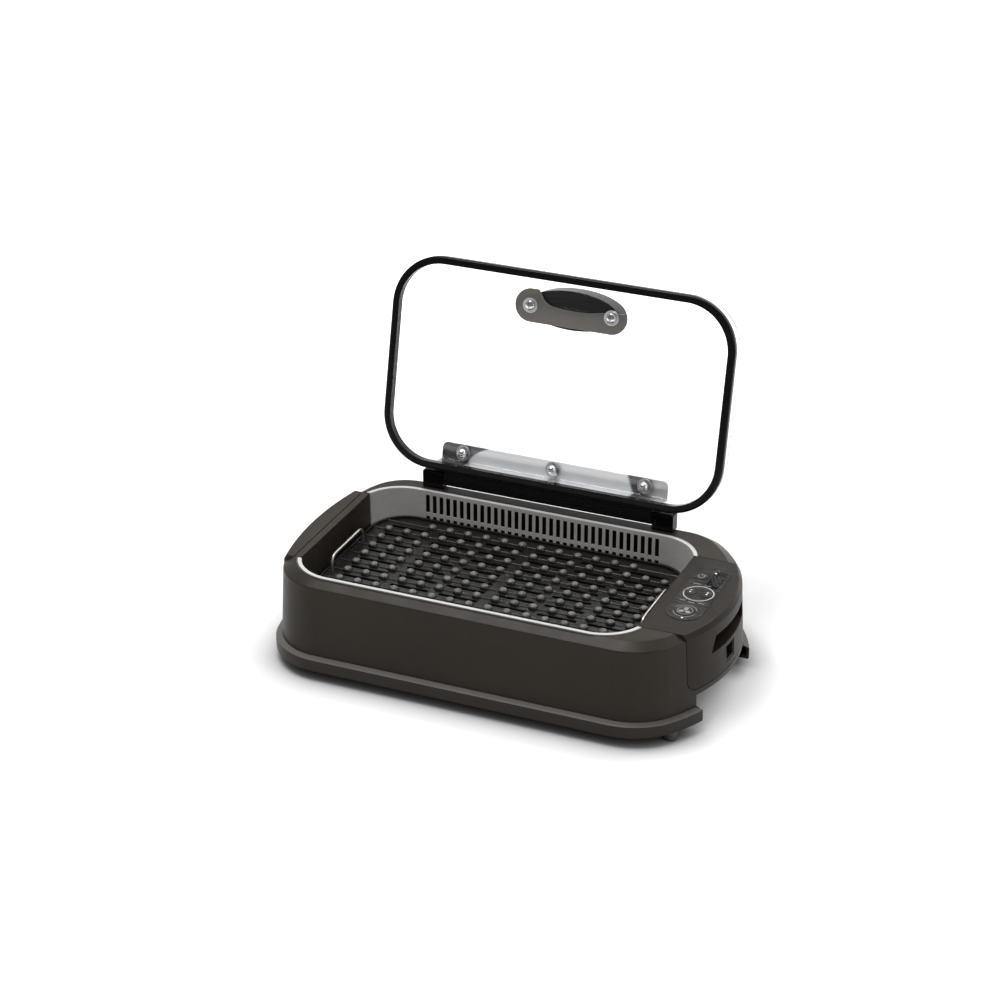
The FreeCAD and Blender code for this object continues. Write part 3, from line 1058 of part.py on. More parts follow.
def make_grip(glass):
    """The oval grip on the lid, the plate inside the glass and the screws that join them."""
    mid_y = LID_MID_Y - LID_DEPTH / 2 + GRIP_INSET
    top, under = LID_Z + DOME_HEIGHT, LID_Z + DOME_HEIGHT - GLASS_THICK
    oval = Part.Ellipse(V(HINGE_X, mid_y, top), GRIP_HALF_LENGTH, GRIP_HALF_WIDTH).toShape()
    grip = Part.Face(Part.Wire([oval])).extrude(V(0, 0, GRIP_RISE))
    grip = grip.makeFillet(GRIP_EDGE, [e for e in grip.Edges if e.BoundBox.ZMin > top + GRIP_RISE - OVERCUT])
    grip = grip.cut(box(HINGE_X - GRIP_HALF_LENGTH + HOLLOW_END, HINGE_X + GRIP_HALF_LENGTH - HOLLOW_END,
                        mid_y - GRIP_HALF_WIDTH + HOLLOW_WALL, mid_y + GRIP_HALF_WIDTH + OVERCUT,
                        top + HOLLOW_FLOOR, top + GRIP_RISE - HOLLOW_CEILING))
    spots = [V(HINGE_X + s * GRIP_BOLT_REACH, mid_y, 0) for s in (-1, 1)]
    half_x, half_y, plate_z = GRIP_PLATE_LENGTH / 2, GRIP_PLATE_WIDTH / 2, under - GRIP_PLATE_THICK
    plate = Part.Face(rounded(half_x, half_y, half_y - 0.01, V(HINGE_X, mid_y, plate_z)))
    edge = [V(HINGE_X + x * half_x, mid_y - y * half_y, plate_z) for x, y in SCOOP_EDGE]
    curve = Part.BSplineCurve()
    curve.interpolate(edge)
    far = [V(point.x, mid_y - SCOOP_TOP * half_y, plate_z) for point in (edge[-1], edge[0])]
    outline = Part.Wire([curve.toShape()] + Part.makePolygon([edge[-1]] + far + [edge[0]]).Edges)
    plate = plate.cut(Part.Face(outline)).extrude(V(0, 0, GRIP_PLATE_THICK))
    screws, holes, threads = [], [], []
    for p in spots:
        seat = under - GRIP_PLATE_THICK
        washer = rod(WASHER_RADIUS, p + V(0, 0, seat - WASHER_THICK), Z, WASHER_THICK)
        head_z = seat - WASHER_THICK
        shank = rod(BOLT_RADIUS, p + V(0, 0, head_z), Z, top + GRIP_SCREW_REACH - head_z)
        head = rod(NUT_RADIUS, p + V(0, 0, head_z - NUT_HEIGHT), Z, NUT_HEIGHT)
        rim = [e for e in head.Edges if e.CenterOfMass.z < head_z - NUT_HEIGHT + 0.01 and e.Length > 1]
        head = head.makeFillet(NUT_HEIGHT / 2, rim)
        screws += [head.fuse(shank).removeSplitter(), washer.cut(shank)]
        threads.append(shank)
        holes.append(rod(BOLT_RADIUS + BOLT_HOLE_GAP, p + V(0, 0, head_z), Z, top - head_z))
    holes = Part.makeCompound(holes)
    return {
        "lid_grip": grip.cut(Part.makeCompound(threads)),
        "grip_plate": plate.cut(holes),
        "grip_screws": Part.makeCompound(screws),
        "lid_glass": glass.cut(holes),
    }


def build():
    nodes = {
        "base_skirt": make_base(),
        "outer_housing": make_housing(),
        "left_handle": make_left_handle(),
        "pan": make_pan(),
        "base_screws": make_base_screws(),
    }
    makers = (make_feet, make_contacts, make_module, make_element, make_plate, make_fan, make_hinge_mount,
              make_lid)
    for maker in makers:
        nodes.update(maker())
    return nodes


def main():
    nodes = build()
    box_all = Part.makeCompound(list(nodes.values())).optimalBoundingBox(False)
    origin = V(box_all.Center.x, box_all.Center.y, box_all.ZMin)
    print("origin in the working frame", origin)
    print("size", box_all.XLength, box_all.YLength, box_all.ZLength)
    os.makedirs("parts", exist_ok=True)
    for name, shape in sorted(nodes.items()):
        shape.translate(origin * -1)
        shape.exportStep("parts/" + name + ".step")
        print(name, len(shape.Solids), "solids", round(shape.Volume), "mm3", shape.isValid())


main()
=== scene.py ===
"""Looks of a countertop smokeless grill with a glass lid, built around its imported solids."""
import json
import math

import bmesh
import bpy
from mathutils import Matrix, Vector


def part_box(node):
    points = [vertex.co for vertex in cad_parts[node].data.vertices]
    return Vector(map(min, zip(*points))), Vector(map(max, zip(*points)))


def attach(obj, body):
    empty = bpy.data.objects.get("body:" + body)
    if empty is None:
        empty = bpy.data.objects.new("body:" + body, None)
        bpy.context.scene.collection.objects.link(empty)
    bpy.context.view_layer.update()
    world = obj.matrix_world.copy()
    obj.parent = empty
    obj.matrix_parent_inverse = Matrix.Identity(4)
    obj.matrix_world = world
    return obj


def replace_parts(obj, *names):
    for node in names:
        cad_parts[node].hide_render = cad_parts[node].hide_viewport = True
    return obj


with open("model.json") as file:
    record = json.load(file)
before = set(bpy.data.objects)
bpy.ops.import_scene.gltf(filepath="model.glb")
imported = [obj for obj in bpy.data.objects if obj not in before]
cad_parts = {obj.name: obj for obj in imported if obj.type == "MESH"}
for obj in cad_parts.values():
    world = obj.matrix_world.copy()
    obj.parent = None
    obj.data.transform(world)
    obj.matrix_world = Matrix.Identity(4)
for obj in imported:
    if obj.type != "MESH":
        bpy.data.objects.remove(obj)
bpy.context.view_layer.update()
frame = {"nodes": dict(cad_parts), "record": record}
NODES = frame["nodes"]
BODY_OF = {n: b for b, members in frame["record"]["behaviour"]["bodies"].items() for n in members}
SLOT_OF = {s["node"]: s["material_slot"] for s in frame["record"]["subparts"]}
scene = bpy.context.scene
scene.view_settings.view_transform = "Standard"

# Places are written in the drawing's own millimetres: x and y from the middle of the well, z from the table.
HINGE = Vector((4.0, 123.4, 121.0))
HINGE_JOINT = next(j for j in frame["record"]["behaviour"]["joints"] if j["name"] == "lid_hinge")
DRAWING_ORIGIN = HINGE - Vector(HINGE_JOINT["pos_m"]) * 1000
LID_LEAN = math.radians(13.0)
BRACKET_X = 0.5
SHARP_EDGE = math.radians(38)


def at(x, y, z):
    """A point of the drawing in the frame's metres."""
    return (Vector((x, y, z)) - DRAWING_ORIGIN) / 1000


def mm(value):
    return value / 1000


LID_UP = Vector((0, math.sin(LID_LEAN), math.cos(LID_LEAN)))
LID_OUT = Vector((0, math.cos(LID_LEAN), -math.sin(LID_LEAN)))


def lid_axes(x, along, out, inward=True):
    """A matrix on the open lid: its Z points into the lid (or out of it), its Y up the lid."""
    z_axis = -LID_OUT if inward else LID_OUT
    x_axis = LID_UP.cross(z_axis)
    place = at(x, HINGE.y, HINGE.z) + LID_UP * mm(along) + LID_OUT * mm(out)
    turn = Matrix((x_axis, LID_UP, z_axis)).transposed().to_4x4()
    return Matrix.Translation(place) @ turn


# Materials

class Shade:
    """A material's node tree with short ways to add procedural detail."""

    def __init__(self, name, **sockets):
        self.material = bpy.data.materials.new(name)
        self.material.use_nodes = True
        self.tree = self.material.node_tree
        self.shader = self.tree.nodes["Principled BSDF"]
        self.place = self.node("ShaderNodeTexCoord").outputs["Object"]
        for key, value in sockets.items():
            self.shader.inputs[key.replace("_", " ")].default_value = value

    def node(self, kind, **settings):
        made = self.tree.nodes.new(kind)
        for key, value in settings.items():
            setattr(made, key, value)
        return made

    def link(self, a, b):
        self.tree.links.new(a, b)

    def stretched(self, stretch):
        mapping = self.node("ShaderNodeMapping")
        mapping.inputs["Scale"].default_value = stretch
        self.link(self.place, mapping.inputs["Vector"])
        return mapping.outputs["Vector"]

    def noise(self, scale, detail=3.0, stretch=(1, 1, 1), rough=0.55, twist=0.0):
        made = self.node("ShaderNodeTexNoise")
        made.inputs["Scale"].default_value = scale
        made.inputs["Detail"].default_value = detail
        made.inputs["Roughness"].default_value = rough
        made.inputs["Distortion"].default_value = twist
        self.link(self.stretched(stretch), made.inputs["Vector"])
        return made.outputs["Fac"]

    def cells(self, scale):
        made = self.node("ShaderNodeTexVoronoi")
        made.inputs["Scale"].default_value = scale
        self.link(self.place, made.inputs["Vector"])
        return made.outputs["Distance"]

    def split(self, vector):
        """The X, Y and Z outputs of a vector."""
        made = self.node("ShaderNodeSeparateXYZ")
        self.link(vector, made.inputs["Vector"])
        return made.outputs

    def facing(self):
        return self.split(self.node("ShaderNodeNewGeometry").outputs["Normal"])

    def ramp(self, value, *stops):
        made = self.node("ShaderNodeValToRGB")
        slots = made.color_ramp.elements
        while len(slots) < len(stops):
            slots.new(0.5)
        for slot, (spot, colour) in zip(slots, stops):
            slot.position = spot
            slot.color = (*colour, 1)
        self.link(value, made.inputs["Fac"])
        return made.outputs["Color"]

    def remap(self, value, limits, kind="LINEAR"):
        """Maps a value by limits given as From Min, From Max, To Min, To Max."""
        made = self.node("ShaderNodeMapRange", interpolation_type=kind)
        for key, limit in zip(("From Min", "From Max", "To Min", "To Max"), limits):
            made.inputs[key].default_value = limit
        self.link(value, made.inputs["Value"])
        return made.outputs["Result"]

    def spread(self, value, low, high):
        """Takes the middle range of a noise to the range from low to high."""
        return self.remap(value, (0.3, 0.7, low, high))

    def step(self, value, low, high):
        """A smooth rise from 0 to 1 between two values."""
        return self.remap(value, (low, high, 0.0, 1.0), "SMOOTHSTEP")

    def math(self, kind, a, b):
        made = self.node("ShaderNodeMath", operation=kind)
        for socket, value in zip(made.inputs, (a, b)):
            if isinstance(value, (int, float)):
                socket.default_value = value
            else:
                self.link(value, socket)
        return made.outputs["Value"]

    def mix(self, factor, a, b):
        made = self.node("ShaderNodeMix", data_type="RGBA")
        self.link(factor, made.inputs["Factor"])
        for key, value in (("A", a), ("B", b)):
            socket = [s for s in made.inputs if s.name == key and s.type == "RGBA"][0]
            if isinstance(value, (tuple, list)):
                socket.default_value = (*value, 1)
            else:
                self.link(value, socket)
        return [s for s in made.outputs if s.type == "RGBA"][0]

    def set(self, socket, value):
        self.link(value, self.shader.inputs[socket])

    def bump(self, *layers):
        """Layers of (height output, strength, depth in metres), the coarse ones first."""
        normal = None
        for height, strength, depth in layers:
            made = self.node("ShaderNodeBump")
            made.inputs["Strength"].default_value = strength
            made.inputs["Distance"].default_value = depth
            self.link(height, made.inputs["Height"])
            if normal is not None:
                self.link(normal, made.inputs["Normal"])
            normal = made.outputs["Normal"]
        self.set("Normal", normal)


def tint(colour, factor):
    return tuple(min(1.0, c * factor) for c in colour)


def plastic(name, colour, rough, specular, painted_top_light=None):
    """Moulded plastic with fine spark-eroded grain; an optional paler colour on its upward faces is painted light
    on the tops.
    """
    s = Shade(name, Specular_IOR_Level=specular)
    tone = s.ramp(s.noise(11, 4), (0.3, tint(colour, 0.88)), (0.7, tint(colour, 1.12)))
    tone = s.mix(s.spread(s.noise(900, 2), 0.0, 0.35), tone, tint(colour, 1.35))
    if painted_top_light:
        # Upward faces get the paler colour: painted light on the tops.
        tone = s.mix(s.remap(s.facing()["Z"], (0.35, 0.75, 0.0, 1.0)), tone, painted_top_light)
    s.set("Base Color", tone)
    s.set("Roughness", s.spread(s.noise(60, 4), rough - 0.04, rough + 0.05))
    s.bump((s.noise(5, 2), 0.10, 0.0006), (s.noise(1500, 3), 0.25, 0.00006))
    return s.material


def gloss(name, colour, rough, specular):
    """Polished plastic with hairline scuffs."""
    s = Shade(name, Specular_IOR_Level=specular)
    scuff = s.noise(40, 5, stretch=(1, 14, 9), twist=0.6)
    s.set("Base Color", s.ramp(s.noise(18, 3), (0.3, tint(colour, 0.85)), (0.7, tint(colour, 1.2))))
    s.set("Roughness", s.spread(scuff, rough - 0.03, rough + 0.07))
    s.bump((s.noise(9, 2), 0.06, 0.0008), (scuff, 0.05, 0.00005))
    return s.material


def brushed(name, colour, rough, stretch):
    """Brushed sheet metal, its lines long where the stretch is small."""
    s = Shade(name, Metallic=1.0, Anisotropic=0.35)
    lines = s.noise(260, 4, stretch=stretch, rough=0.7)
    clouds = s.noise(9, 3)
    base = s.ramp(lines, (0.25, tint(colour, 0.92)), (0.75, tint(colour, 1.08)))
    s.set("Base Color", s.mix(s.spread(clouds, 0.0, 0.25), base, tint(colour, 0.88)))
    s.set("Roughness", s.spread(lines, rough - 0.06, rough + 0.08))
    s.bump((lines, 0.5, 0.00004))
    return s.material


def polished(name, colour, rough=0.1):
    """Plated metal with faint handling marks."""
    s = Shade(name, Metallic=1.0)
    s.set("Base Color", s.ramp(s.noise(70, 4), (0.3, tint(colour, 0.9)), (0.7, tint(colour, 1.05))))
    s.set("Roughness", s.spread(s.noise(320, 4, twist=0.5), rough - 0.04, rough + 0.08))
    s.bump((s.noise(500, 3), 0.08, 0.00003))
    return s.material


def rubber(name, colour):
    """Matt rubber with a dusty grain."""
    s = Shade(name, Specular_IOR_Level=0.25)
    s.set("Base Color", s.ramp(s.noise(240, 5), (0.3, tint(colour, 0.8)), (0.75, tint(colour, 1.2))))
    s.set("Roughness", s.spread(s.noise(90, 3), 0.62, 0.8))
    s.bump((s.noise(1100, 3), 0.3, 0.00008))
    return s.material


def coating(name, colour):
    """Non-stick coating: near black with pale flecks, a slight orange peel, and a painted highlight that makes
    the bumps paler at their tips.
    """
    s = Shade(name, Specular_IOR_Level=0.3)
    fleck = s.ramp(s.cells(420), (0.10, (1, 1, 1)), (0.18, (0, 0, 0)))
    base = s.ramp(s.noise(30, 4), (0.3, tint(colour, 0.75)), (0.7, tint(colour, 1.25)))
    # The bumps' tips are painted paler by height: a painted highlight.
    highlight_tip_mask = s.step(s.split(s.place)["Z"], mm(76.4), mm(79.0))
    painted_tip_highlight = s.math("MULTIPLY", highlight_tip_mask, s.spread(s.noise(160, 4), 0.35, 1.0))
    s.set("Base Color", s.mix(painted_tip_highlight, s.mix(fleck, base, tint(colour, 4.0)), (0.22, 0.205, 0.19)))
    s.set("Roughness", s.spread(s.noise(130, 4), 0.26, 0.40))
    s.bump((s.noise(240, 2), 0.12, 0.0003), (s.noise(1300, 3), 0.12, 0.00005))
    return s.material


def heater(name):
    """Sheathed heating rod, blued and browned by use."""
    s = Shade(name, Metallic=0.7)
    s.set("Base Color", s.ramp(s.noise(26, 5, twist=0.8), (0.30, (0.055, 0.048, 0.042)),
                               (0.5, (0.095, 0.075, 0.06)), (0.72, (0.06, 0.062, 0.075))))
    s.set("Roughness", s.spread(s.noise(150, 4), 0.42, 0.62))
    s.bump((s.noise(800, 3), 0.25, 0.00008))
    return s.material


def clear_glass(name):
    """Toughened glass, very slightly uneven."""
    s = Shade(name, Transmission_Weight=1.0, IOR=1.45, Roughness=0.0)
    s.set("Base Color", s.ramp(s.noise(6, 2), (0.3, (0.985, 0.99, 0.988)), (0.7, (0.995, 1.0, 0.998))))
    s.bump((s.noise(4, 1), 0.015, 0.001))
    return s.material


def circuit(name):
    """Green circuit board with rows of tracks."""
    s = Shade(name, Specular_IOR_Level=0.5)
    traces = s.node("ShaderNodeTexBrick", offset=0.5)
    for key, value in (("Scale", 160.0), ("Mortar Size", 0.04), ("Brick Width", 1.4), ("Row Height", 0.35)):
        traces.inputs[key].default_value = value
    s.link(s.place, traces.inputs["Vector"])
    for key, colour in (("Color1", (0.012, 0.10, 0.04)), ("Color2", (0.015, 0.13, 0.05)),
                        ("Mortar", (0.05, 0.22, 0.09))):
        traces.inputs[key].default_value = (*colour, 1)
    s.set("Base Color", traces.outputs["Color"])
    s.set("Roughness", s.spread(s.noise(200, 3), 0.3, 0.45))
    s.bump((traces.outputs["Fac"], 0.2, 0.00005))
    return s.material


def reflection_painted_steel(name):
    """The lid's hinge bracket with a painted reflection: a bright satin middle between darker ends with slanting,
    curved borders.
    """
    s = Shade(name, Metallic=0.6)
    lines = s.noise(300, 3, stretch=(0.02, 1.6, 1.6), rough=0.6)
    place = s.split(s.place)
    centre = at(BRACKET_X, 0, 142.4)
    x = s.math("MULTIPLY", s.math("SUBTRACT", place["X"], centre.x), 1000.0)
    t = s.math("MULTIPLY", s.math("SUBTRACT", place["Z"], centre.z), 90.0)
    bend = s.math("MULTIPLY", s.math("MULTIPLY", t, t), 8.0)
    left = s.math("SUBTRACT", s.math("ADD", x, 88.0), s.math("ADD", s.math("MULTIPLY", t, 17.0), bend))
    right = s.math("SUBTRACT", s.math("SUBTRACT", 85.0, x), s.math("MULTIPLY", t, 4.5))
    # The bright middle and the dark ends are a painted reflection, not two finishes of the steel.
    painted_reflection_band = s.step(s.math("MINIMUM", left, right), -2.0, 2.0)
    painted_bright_reflection = s.ramp(lines, (0.25, (0.84, 0.85, 0.87)), (0.75, (0.88, 0.89, 0.91)))
    painted_dark_reflection = s.ramp(lines, (0.25, (0.085, 0.080, 0.076)), (0.75, (0.12, 0.115, 0.11)))
    # Beyond the dark ends the bracket's tips turn mid grey, part of the same painted reflection.
    ends = s.mix(s.step(x, 98.0, 118.0), painted_dark_reflection, (0.55, 0.55, 0.55))
    s.set("Base Color", s.mix(painted_reflection_band, ends, painted_bright_reflection))
    s.set("Roughness", s.spread(lines, 0.42, 0.50))
    s.bump((lines, 0.04, 0.00002))
    return s.material


def pan_metal(name):
    """Satin pan walls and a paler rim; the dark outer edge of the rim is painted shade, and so are the dark cut
    sides in the air slots.
    """
    s = Shade(name, Anisotropic=0.3)
    lines = s.noise(260, 4, stretch=(0.03, 1, 1), rough=0.7)
    place = s.split(s.place)
    middle = at(0, 0, 0)
    sides = []
    for key, centre, straight in (("X", middle.x, mm(140.0)), ("Y", middle.y, mm(64.0))):
        away = s.math("ABSOLUTE", s.math("SUBTRACT", place[key], centre), 0.0)
        over = s.math("MAXIMUM", s.math("SUBTRACT", away, straight), 0.0)
        sides.append(s.math("MULTIPLY", over, over))
    reach = s.math("SQRT", s.math("ADD", sides[0], sides[1]), 0.0)
    rim = s.step(place["Z"], mm(105.2), mm(106.0))
    # The rim's outer edge is painted near black and not metallic: painted shade at the rim's edge.
    outer = s.math("MULTIPLY", rim, s.step(reach, mm(48.4), mm(49.0)))
    # The cut sides of the rear air slots are painted dark: painted shade inside the slots.
    painted_slot_shade = s.math("MULTIPLY", s.step(s.math("ABSOLUTE", s.facing()["X"], 0.0), 0.7, 0.85),
                 s.step(place["Y"], middle.y + mm(108.0), middle.y + mm(108.3)))
    walls = s.ramp(lines, (0.25, (0.58, 0.555, 0.54)), (0.75, (0.67, 0.645, 0.63)))
    satin = s.ramp(lines, (0.25, (0.60, 0.60, 0.595)), (0.75, (0.67, 0.67, 0.665)))
    colour = s.mix(outer, s.mix(rim, walls, satin), (0.03, 0.028, 0.025))
    s.set("Base Color", s.mix(painted_slot_shade, colour, (0.03, 0.028, 0.026)))
    s.set("Metallic", s.math("MULTIPLY", s.math("SUBTRACT", 1.0, outer), 0.3))
    s.set("Roughness", s.spread(lines, 0.34, 0.46))
    s.bump((lines, 0.3, 0.00003))
    return s.material


def printed(name, colour, glow=0.0):
    """Screen-printed marks; a glow, where given, is painted light."""
    s = Shade(name, Emission_Strength=glow)
    s.shader.inputs["Emission Color"].default_value = (*colour, 1)
    s.set("Base Color", s.ramp(s.noise(700, 3), (0.3, tint(colour, 0.85)), (0.7, colour)))
    s.set("Roughness", s.spread(s.noise(400, 3), 0.4, 0.55))
    s.bump((s.noise(900, 2), 0.1, 0.00003))
    return s.material


MATERIALS = {
    "body_plastic": plastic("housing_plastic", (0.023, 0.0175, 0.0125), 0.40, 0.16),
    # The skirt's ledge is painted paler on its upward faces: painted light, not a paler plastic.
    "skirt_plastic": plastic("skirt_plastic", (0.023, 0.0175, 0.0125), 0.38, 0.20, painted_top_light=(0.115, 0.105, 0.098)),
    "module_plastic": plastic("module_plastic", (0.021, 0.0165, 0.0130), 0.42, 0.10),
    "foot_rubber": rubber("foot_rubber", (0.10, 0.096, 0.092)),
    "pan_steel": pan_metal("pan_steel"),
    "plate_coating": coating("plate_coating", (0.006, 0.0053, 0.0046)),
    "wire_chrome": polished("wire_chrome", (0.46, 0.44, 0.41), 0.34),
    "element_steel": heater("element_steel"),
    "brace_steel": brushed("brace_steel", (0.50, 0.50, 0.50), 0.4, (1, 0.05, 1)),
    "bush_ceramic": plastic("bush_ceramic", (0.75, 0.73, 0.67), 0.5, 0.4),
    "lid_glass": clear_glass("lid_glass"),
    "trim_gloss": gloss("trim_gloss", (0.004, 0.0037, 0.0035), 0.16, 0.13),
    "hinge_gloss": gloss("hinge_gloss", (0.004, 0.0037, 0.0035), 0.24, 0.10),
    # The bracket's bright middle and dark ends are painted reflection.
    "bracket_steel": reflection_painted_steel("bracket_steel"),
    "fastener_chrome": polished("fastener_chrome", (0.56, 0.56, 0.57), 0.1),
    "grip_plastic": gloss("grip_plastic", (0.005, 0.0047, 0.0044), 0.28, 0.13),
    "grip_plate_plastic": plastic("grip_plate_plastic", (0.19, 0.178, 0.163), 0.4, 0.3),
    "panel_gloss": gloss("panel_gloss", (0.018, 0.0165, 0.0155), 0.26, 0.13),
    "display_gloss": gloss("display_gloss", (0.002, 0.002, 0.002), 0.1, 0.1),
    "key_plastic": gloss("key_plastic", (0.020, 0.0185, 0.0175), 0.28, 0.13),
    "board_green": circuit("board_green"),
    "switch_plastic": plastic("switch_plastic", (0.015, 0.015, 0.015), 0.4, 0.4),
    "inlet_plastic": plastic("inlet_plastic", (0.008, 0.008, 0.008), 0.4, 0.4),
    "contact_brass": polished("contact_brass", (0.78, 0.70, 0.52), 0.18),
    "fan_plastic": plastic("fan_plastic", (0.014, 0.014, 0.015), 0.38, 0.45),
    "motor_metal": brushed("motor_metal", (0.42, 0.42, 0.43), 0.36, (1, 1, 0.05)),
    "screw_steel": polished("screw_steel", (0.42, 0.42, 0.42), 0.28),
    "lead_rubber": rubber("lead_rubber", (0.02, 0.02, 0.02)),
}
PRINT_GREY = printed("print_grey", (0.30, 0.29, 0.285))
PRINT_PALE = printed("print_pale", (0.52, 0.51, 0.50))
# White print with a faint glow: on the printed key signs this glow is painted light.
PRINT_WHITE_GLOW = printed("print_white", (0.88, 0.88, 0.87), 0.25)


# Pieces

def add_piece(name, body, slot, build, material=None):
    """A new mesh piece on a body; build fills the mesh in the frame's metres."""
    mesh = bpy.data.meshes.new(name)
    bm = bmesh.new()
    build(bm)
    bmesh.ops.recalc_face_normals(bm, faces=bm.faces)
    bm.to_mesh(mesh)
    bm.free()
    mesh.shade_smooth()
    mesh.set_sharp_from_angle(angle=SHARP_EDGE)
    piece = bpy.data.objects.new(name, mesh)
    scene.collection.objects.link(piece)
    mesh.materials.append(material or MATERIALS[slot])
    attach(piece, body)
    return piece


KEYS = ("power_key", "cooler_key", "hotter_key", "fan_key")
KEY_REST_GAP = 0.1
KEY_CAP_DEPTH = 0.9


def dress(node, bevel):
    """Gives a CAD node its material; a bevelled node is shown by a softened copy, a key by one with more room."""
    source = NODES[node]
    material = MATERIALS[SLOT_OF[node]]
    if not bevel and node not in KEYS:
        source.data.materials.clear()
        source.data.materials.append(material)
        return
    mesh = source.data.copy()
    bm = bmesh.new()
    bm.from_mesh(mesh)
    bmesh.ops.remove_doubles(bm, verts=bm.verts, dist=2e-6)
    if bevel:
        bmesh.ops.dissolve_limit(bm, angle_limit=math.radians(0.2), verts=bm.verts, edges=bm.edges)
    if node in KEYS:
        # A key's cap and stem stop just short of what is under them at full press.
        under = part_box(node)[1].z - mm(KEY_CAP_DEPTH)
        for vert in bm.verts:
            if vert.co.z < under:
                vert.co.z += mm(KEY_REST_GAP)
    bm.to_mesh(mesh)
    bm.free()
    split_normals = mesh.attributes.get("custom_normal")
    if split_normals:
        mesh.attributes.remove(split_normals)
    mesh.shade_smooth()
    mesh.set_sharp_from_angle(angle=SHARP_EDGE)
    mesh.materials.clear()
    mesh.materials.append(material)
    piece = bpy.data.objects.new(node + "_skin", mesh)
    scene.collection.objects.link(piece)
    if bevel:
        edge = piece.modifiers.new("edge", "BEVEL")
        edge.width = mm(bevel)
        edge.segments = 2
        edge.limit_method = "ANGLE"
        edge.angle_limit = SHARP_EDGE
        edge.use_clamp_overlap = False
        edge.harden_normals = True
    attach(piece, BODY_OF[node])
    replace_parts(piece, node)


def ring_loft(bm, rings, matrix, close_top=True, close_bottom=True):
    """Joins rings of (x, y, z) points, all of one length, into a skin."""
    loops = [[bm.verts.new(matrix @ Vector(p)) for p in ring] for ring in rings]
    count = len(loops[0])
    for low, high in zip(loops, loops[1:]):
        for i in range(count):
            j = (i + 1) % count
            bm.faces.new((low[i], low[j], high[j], high[i]))
    if close_bottom:
        bm.faces.new(loops[0][::-1])
    if close_top:
        bm.faces.new(loops[-1])


CIRCLE_POINTS = 48


def circle(radius, z):
    """A ring of points in metres; the radius is a size or a function of the angle."""
    points = []
    for i in range(CIRCLE_POINTS):
        a = 2 * math.pi * i / CIRCLE_POINTS
        r = mm(radius(a) if callable(radius) else radius)
        points.append((r * math.cos(a), r * math.sin(a), mm(z)))
    return points


def hexagon(flat):
    """Polar radius of a hexagon with that half width over its flats."""
    sixth = math.pi / 3
    return lambda a: flat / math.cos((a + sixth / 2) % sixth - sixth / 2)


def cross(reach, half):
    """Polar radius of a cross recess."""
    def radius(a):
        t = (a + math.pi / 4) % (math.pi / 2) - math.pi / 4
        return min(reach / math.cos(t), half / max(1e-6, abs(math.sin(t))))
    return radius


def cap_nut(bm, matrix, flat, base, dome, crown):
    """A hexagon cap nut with chamfered corners and a round dome."""
    corner = hexagon(flat)
    chamfer = 0.577

    def shoulder(a):
        return base - (corner(a) - flat) * chamfer

    def hex_ring(level):
        return [(p[0], p[1], mm(level(2 * math.pi * i / CIRCLE_POINTS)))
                for i, p in enumerate(circle(corner, 0))]

    rings = [circle(flat * 0.6, 0), hex_ring(lambda a: (corner(a) - flat) * chamfer * 0.5), hex_ring(shoulder),
             circle(flat * 0.99, base), circle(dome, base + 0.15)]
    rings += [circle(dome * math.cos(t), base + 0.15 + crown * math.sin(t))
              for t in (math.pi * k / 16 for k in range(1, 8))]
    ring_loft(bm, rings, matrix)


def button_head(bm, matrix, radius, height, reach, half):
    """A low round screw head with a cross recess."""
    slot = cross(reach, half)
    rings = [circle(radius * 0.9, 0), circle(radius, 0.2), circle(radius, height * 0.35)]
    rings += [circle(radius * math.cos(t) * 0.96 + radius * 0.04, height * (0.35 + 0.65 * math.sin(t)))
              for t in (math.pi * k / 20 for k in range(1, 8))]
    rings += [circle(lambda a: slot(a) + 0.12, height), circle(slot, height - 0.12),
              circle(lambda a: slot(a) * 0.72, height - min(1.4, height * 0.6))]
    ring_loft(bm, rings, matrix)


BOLTS = [BRACKET_X + i * 103.0 for i in (-1, 0, 1)]
BOLT_ALONG, BOLT_IN, BOLT_OUT = 25.1, 17.4, 22.1
GRIP_BOLTS = [HINGE.x + s * 45.25 for s in (-1, 1)]
GRIP_ALONG, GRIP_IN = 194.9, 16.2


def build_bracket_fasteners(bm):
    for x in BOLTS:
        cap_nut(bm, lid_axes(x, BOLT_ALONG, BOLT_IN - 1.2), 5.4, 3.0, 5.1, 4.5)
        button_head(bm, lid_axes(x, BOLT_ALONG, BOLT_OUT, inward=False), 5.0, 2.2, 2.4, 0.6)


def build_grip_screws(bm):
    for x in GRIP_BOLTS:
        button_head(bm, lid_axes(x, GRIP_ALONG, GRIP_IN - 1.2), 5.2, 3.2, 2.6, 0.65)


def build_washers(bm):
    """Dished washers under the cap nuts and the grip's screws."""
    for spots, along, out in ((BOLTS, BOLT_ALONG, BOLT_IN), (GRIP_BOLTS, GRIP_ALONG, GRIP_IN)):
        for x in spots:
            rings = [circle(2.4, 0), circle(8.0, 0), circle(8.2, 0.3), circle(8.1, 1.0), circle(7.6, 1.2),
                     circle(6.9, 1.1), circle(6.4, 0.7), circle(2.4, 0.7)]
            ring_loft(bm, rings, lid_axes(x, along, out), False, False)


SCOOP = ((-0.586, 1.0), (-0.54, 0.704), (-0.42, 0.237), (-0.192, 0.056), (0.08, 0.023), (0.336, 0.073),
         (0.592, 0.225), (0.832, 0.304), (0.96, 0.362))


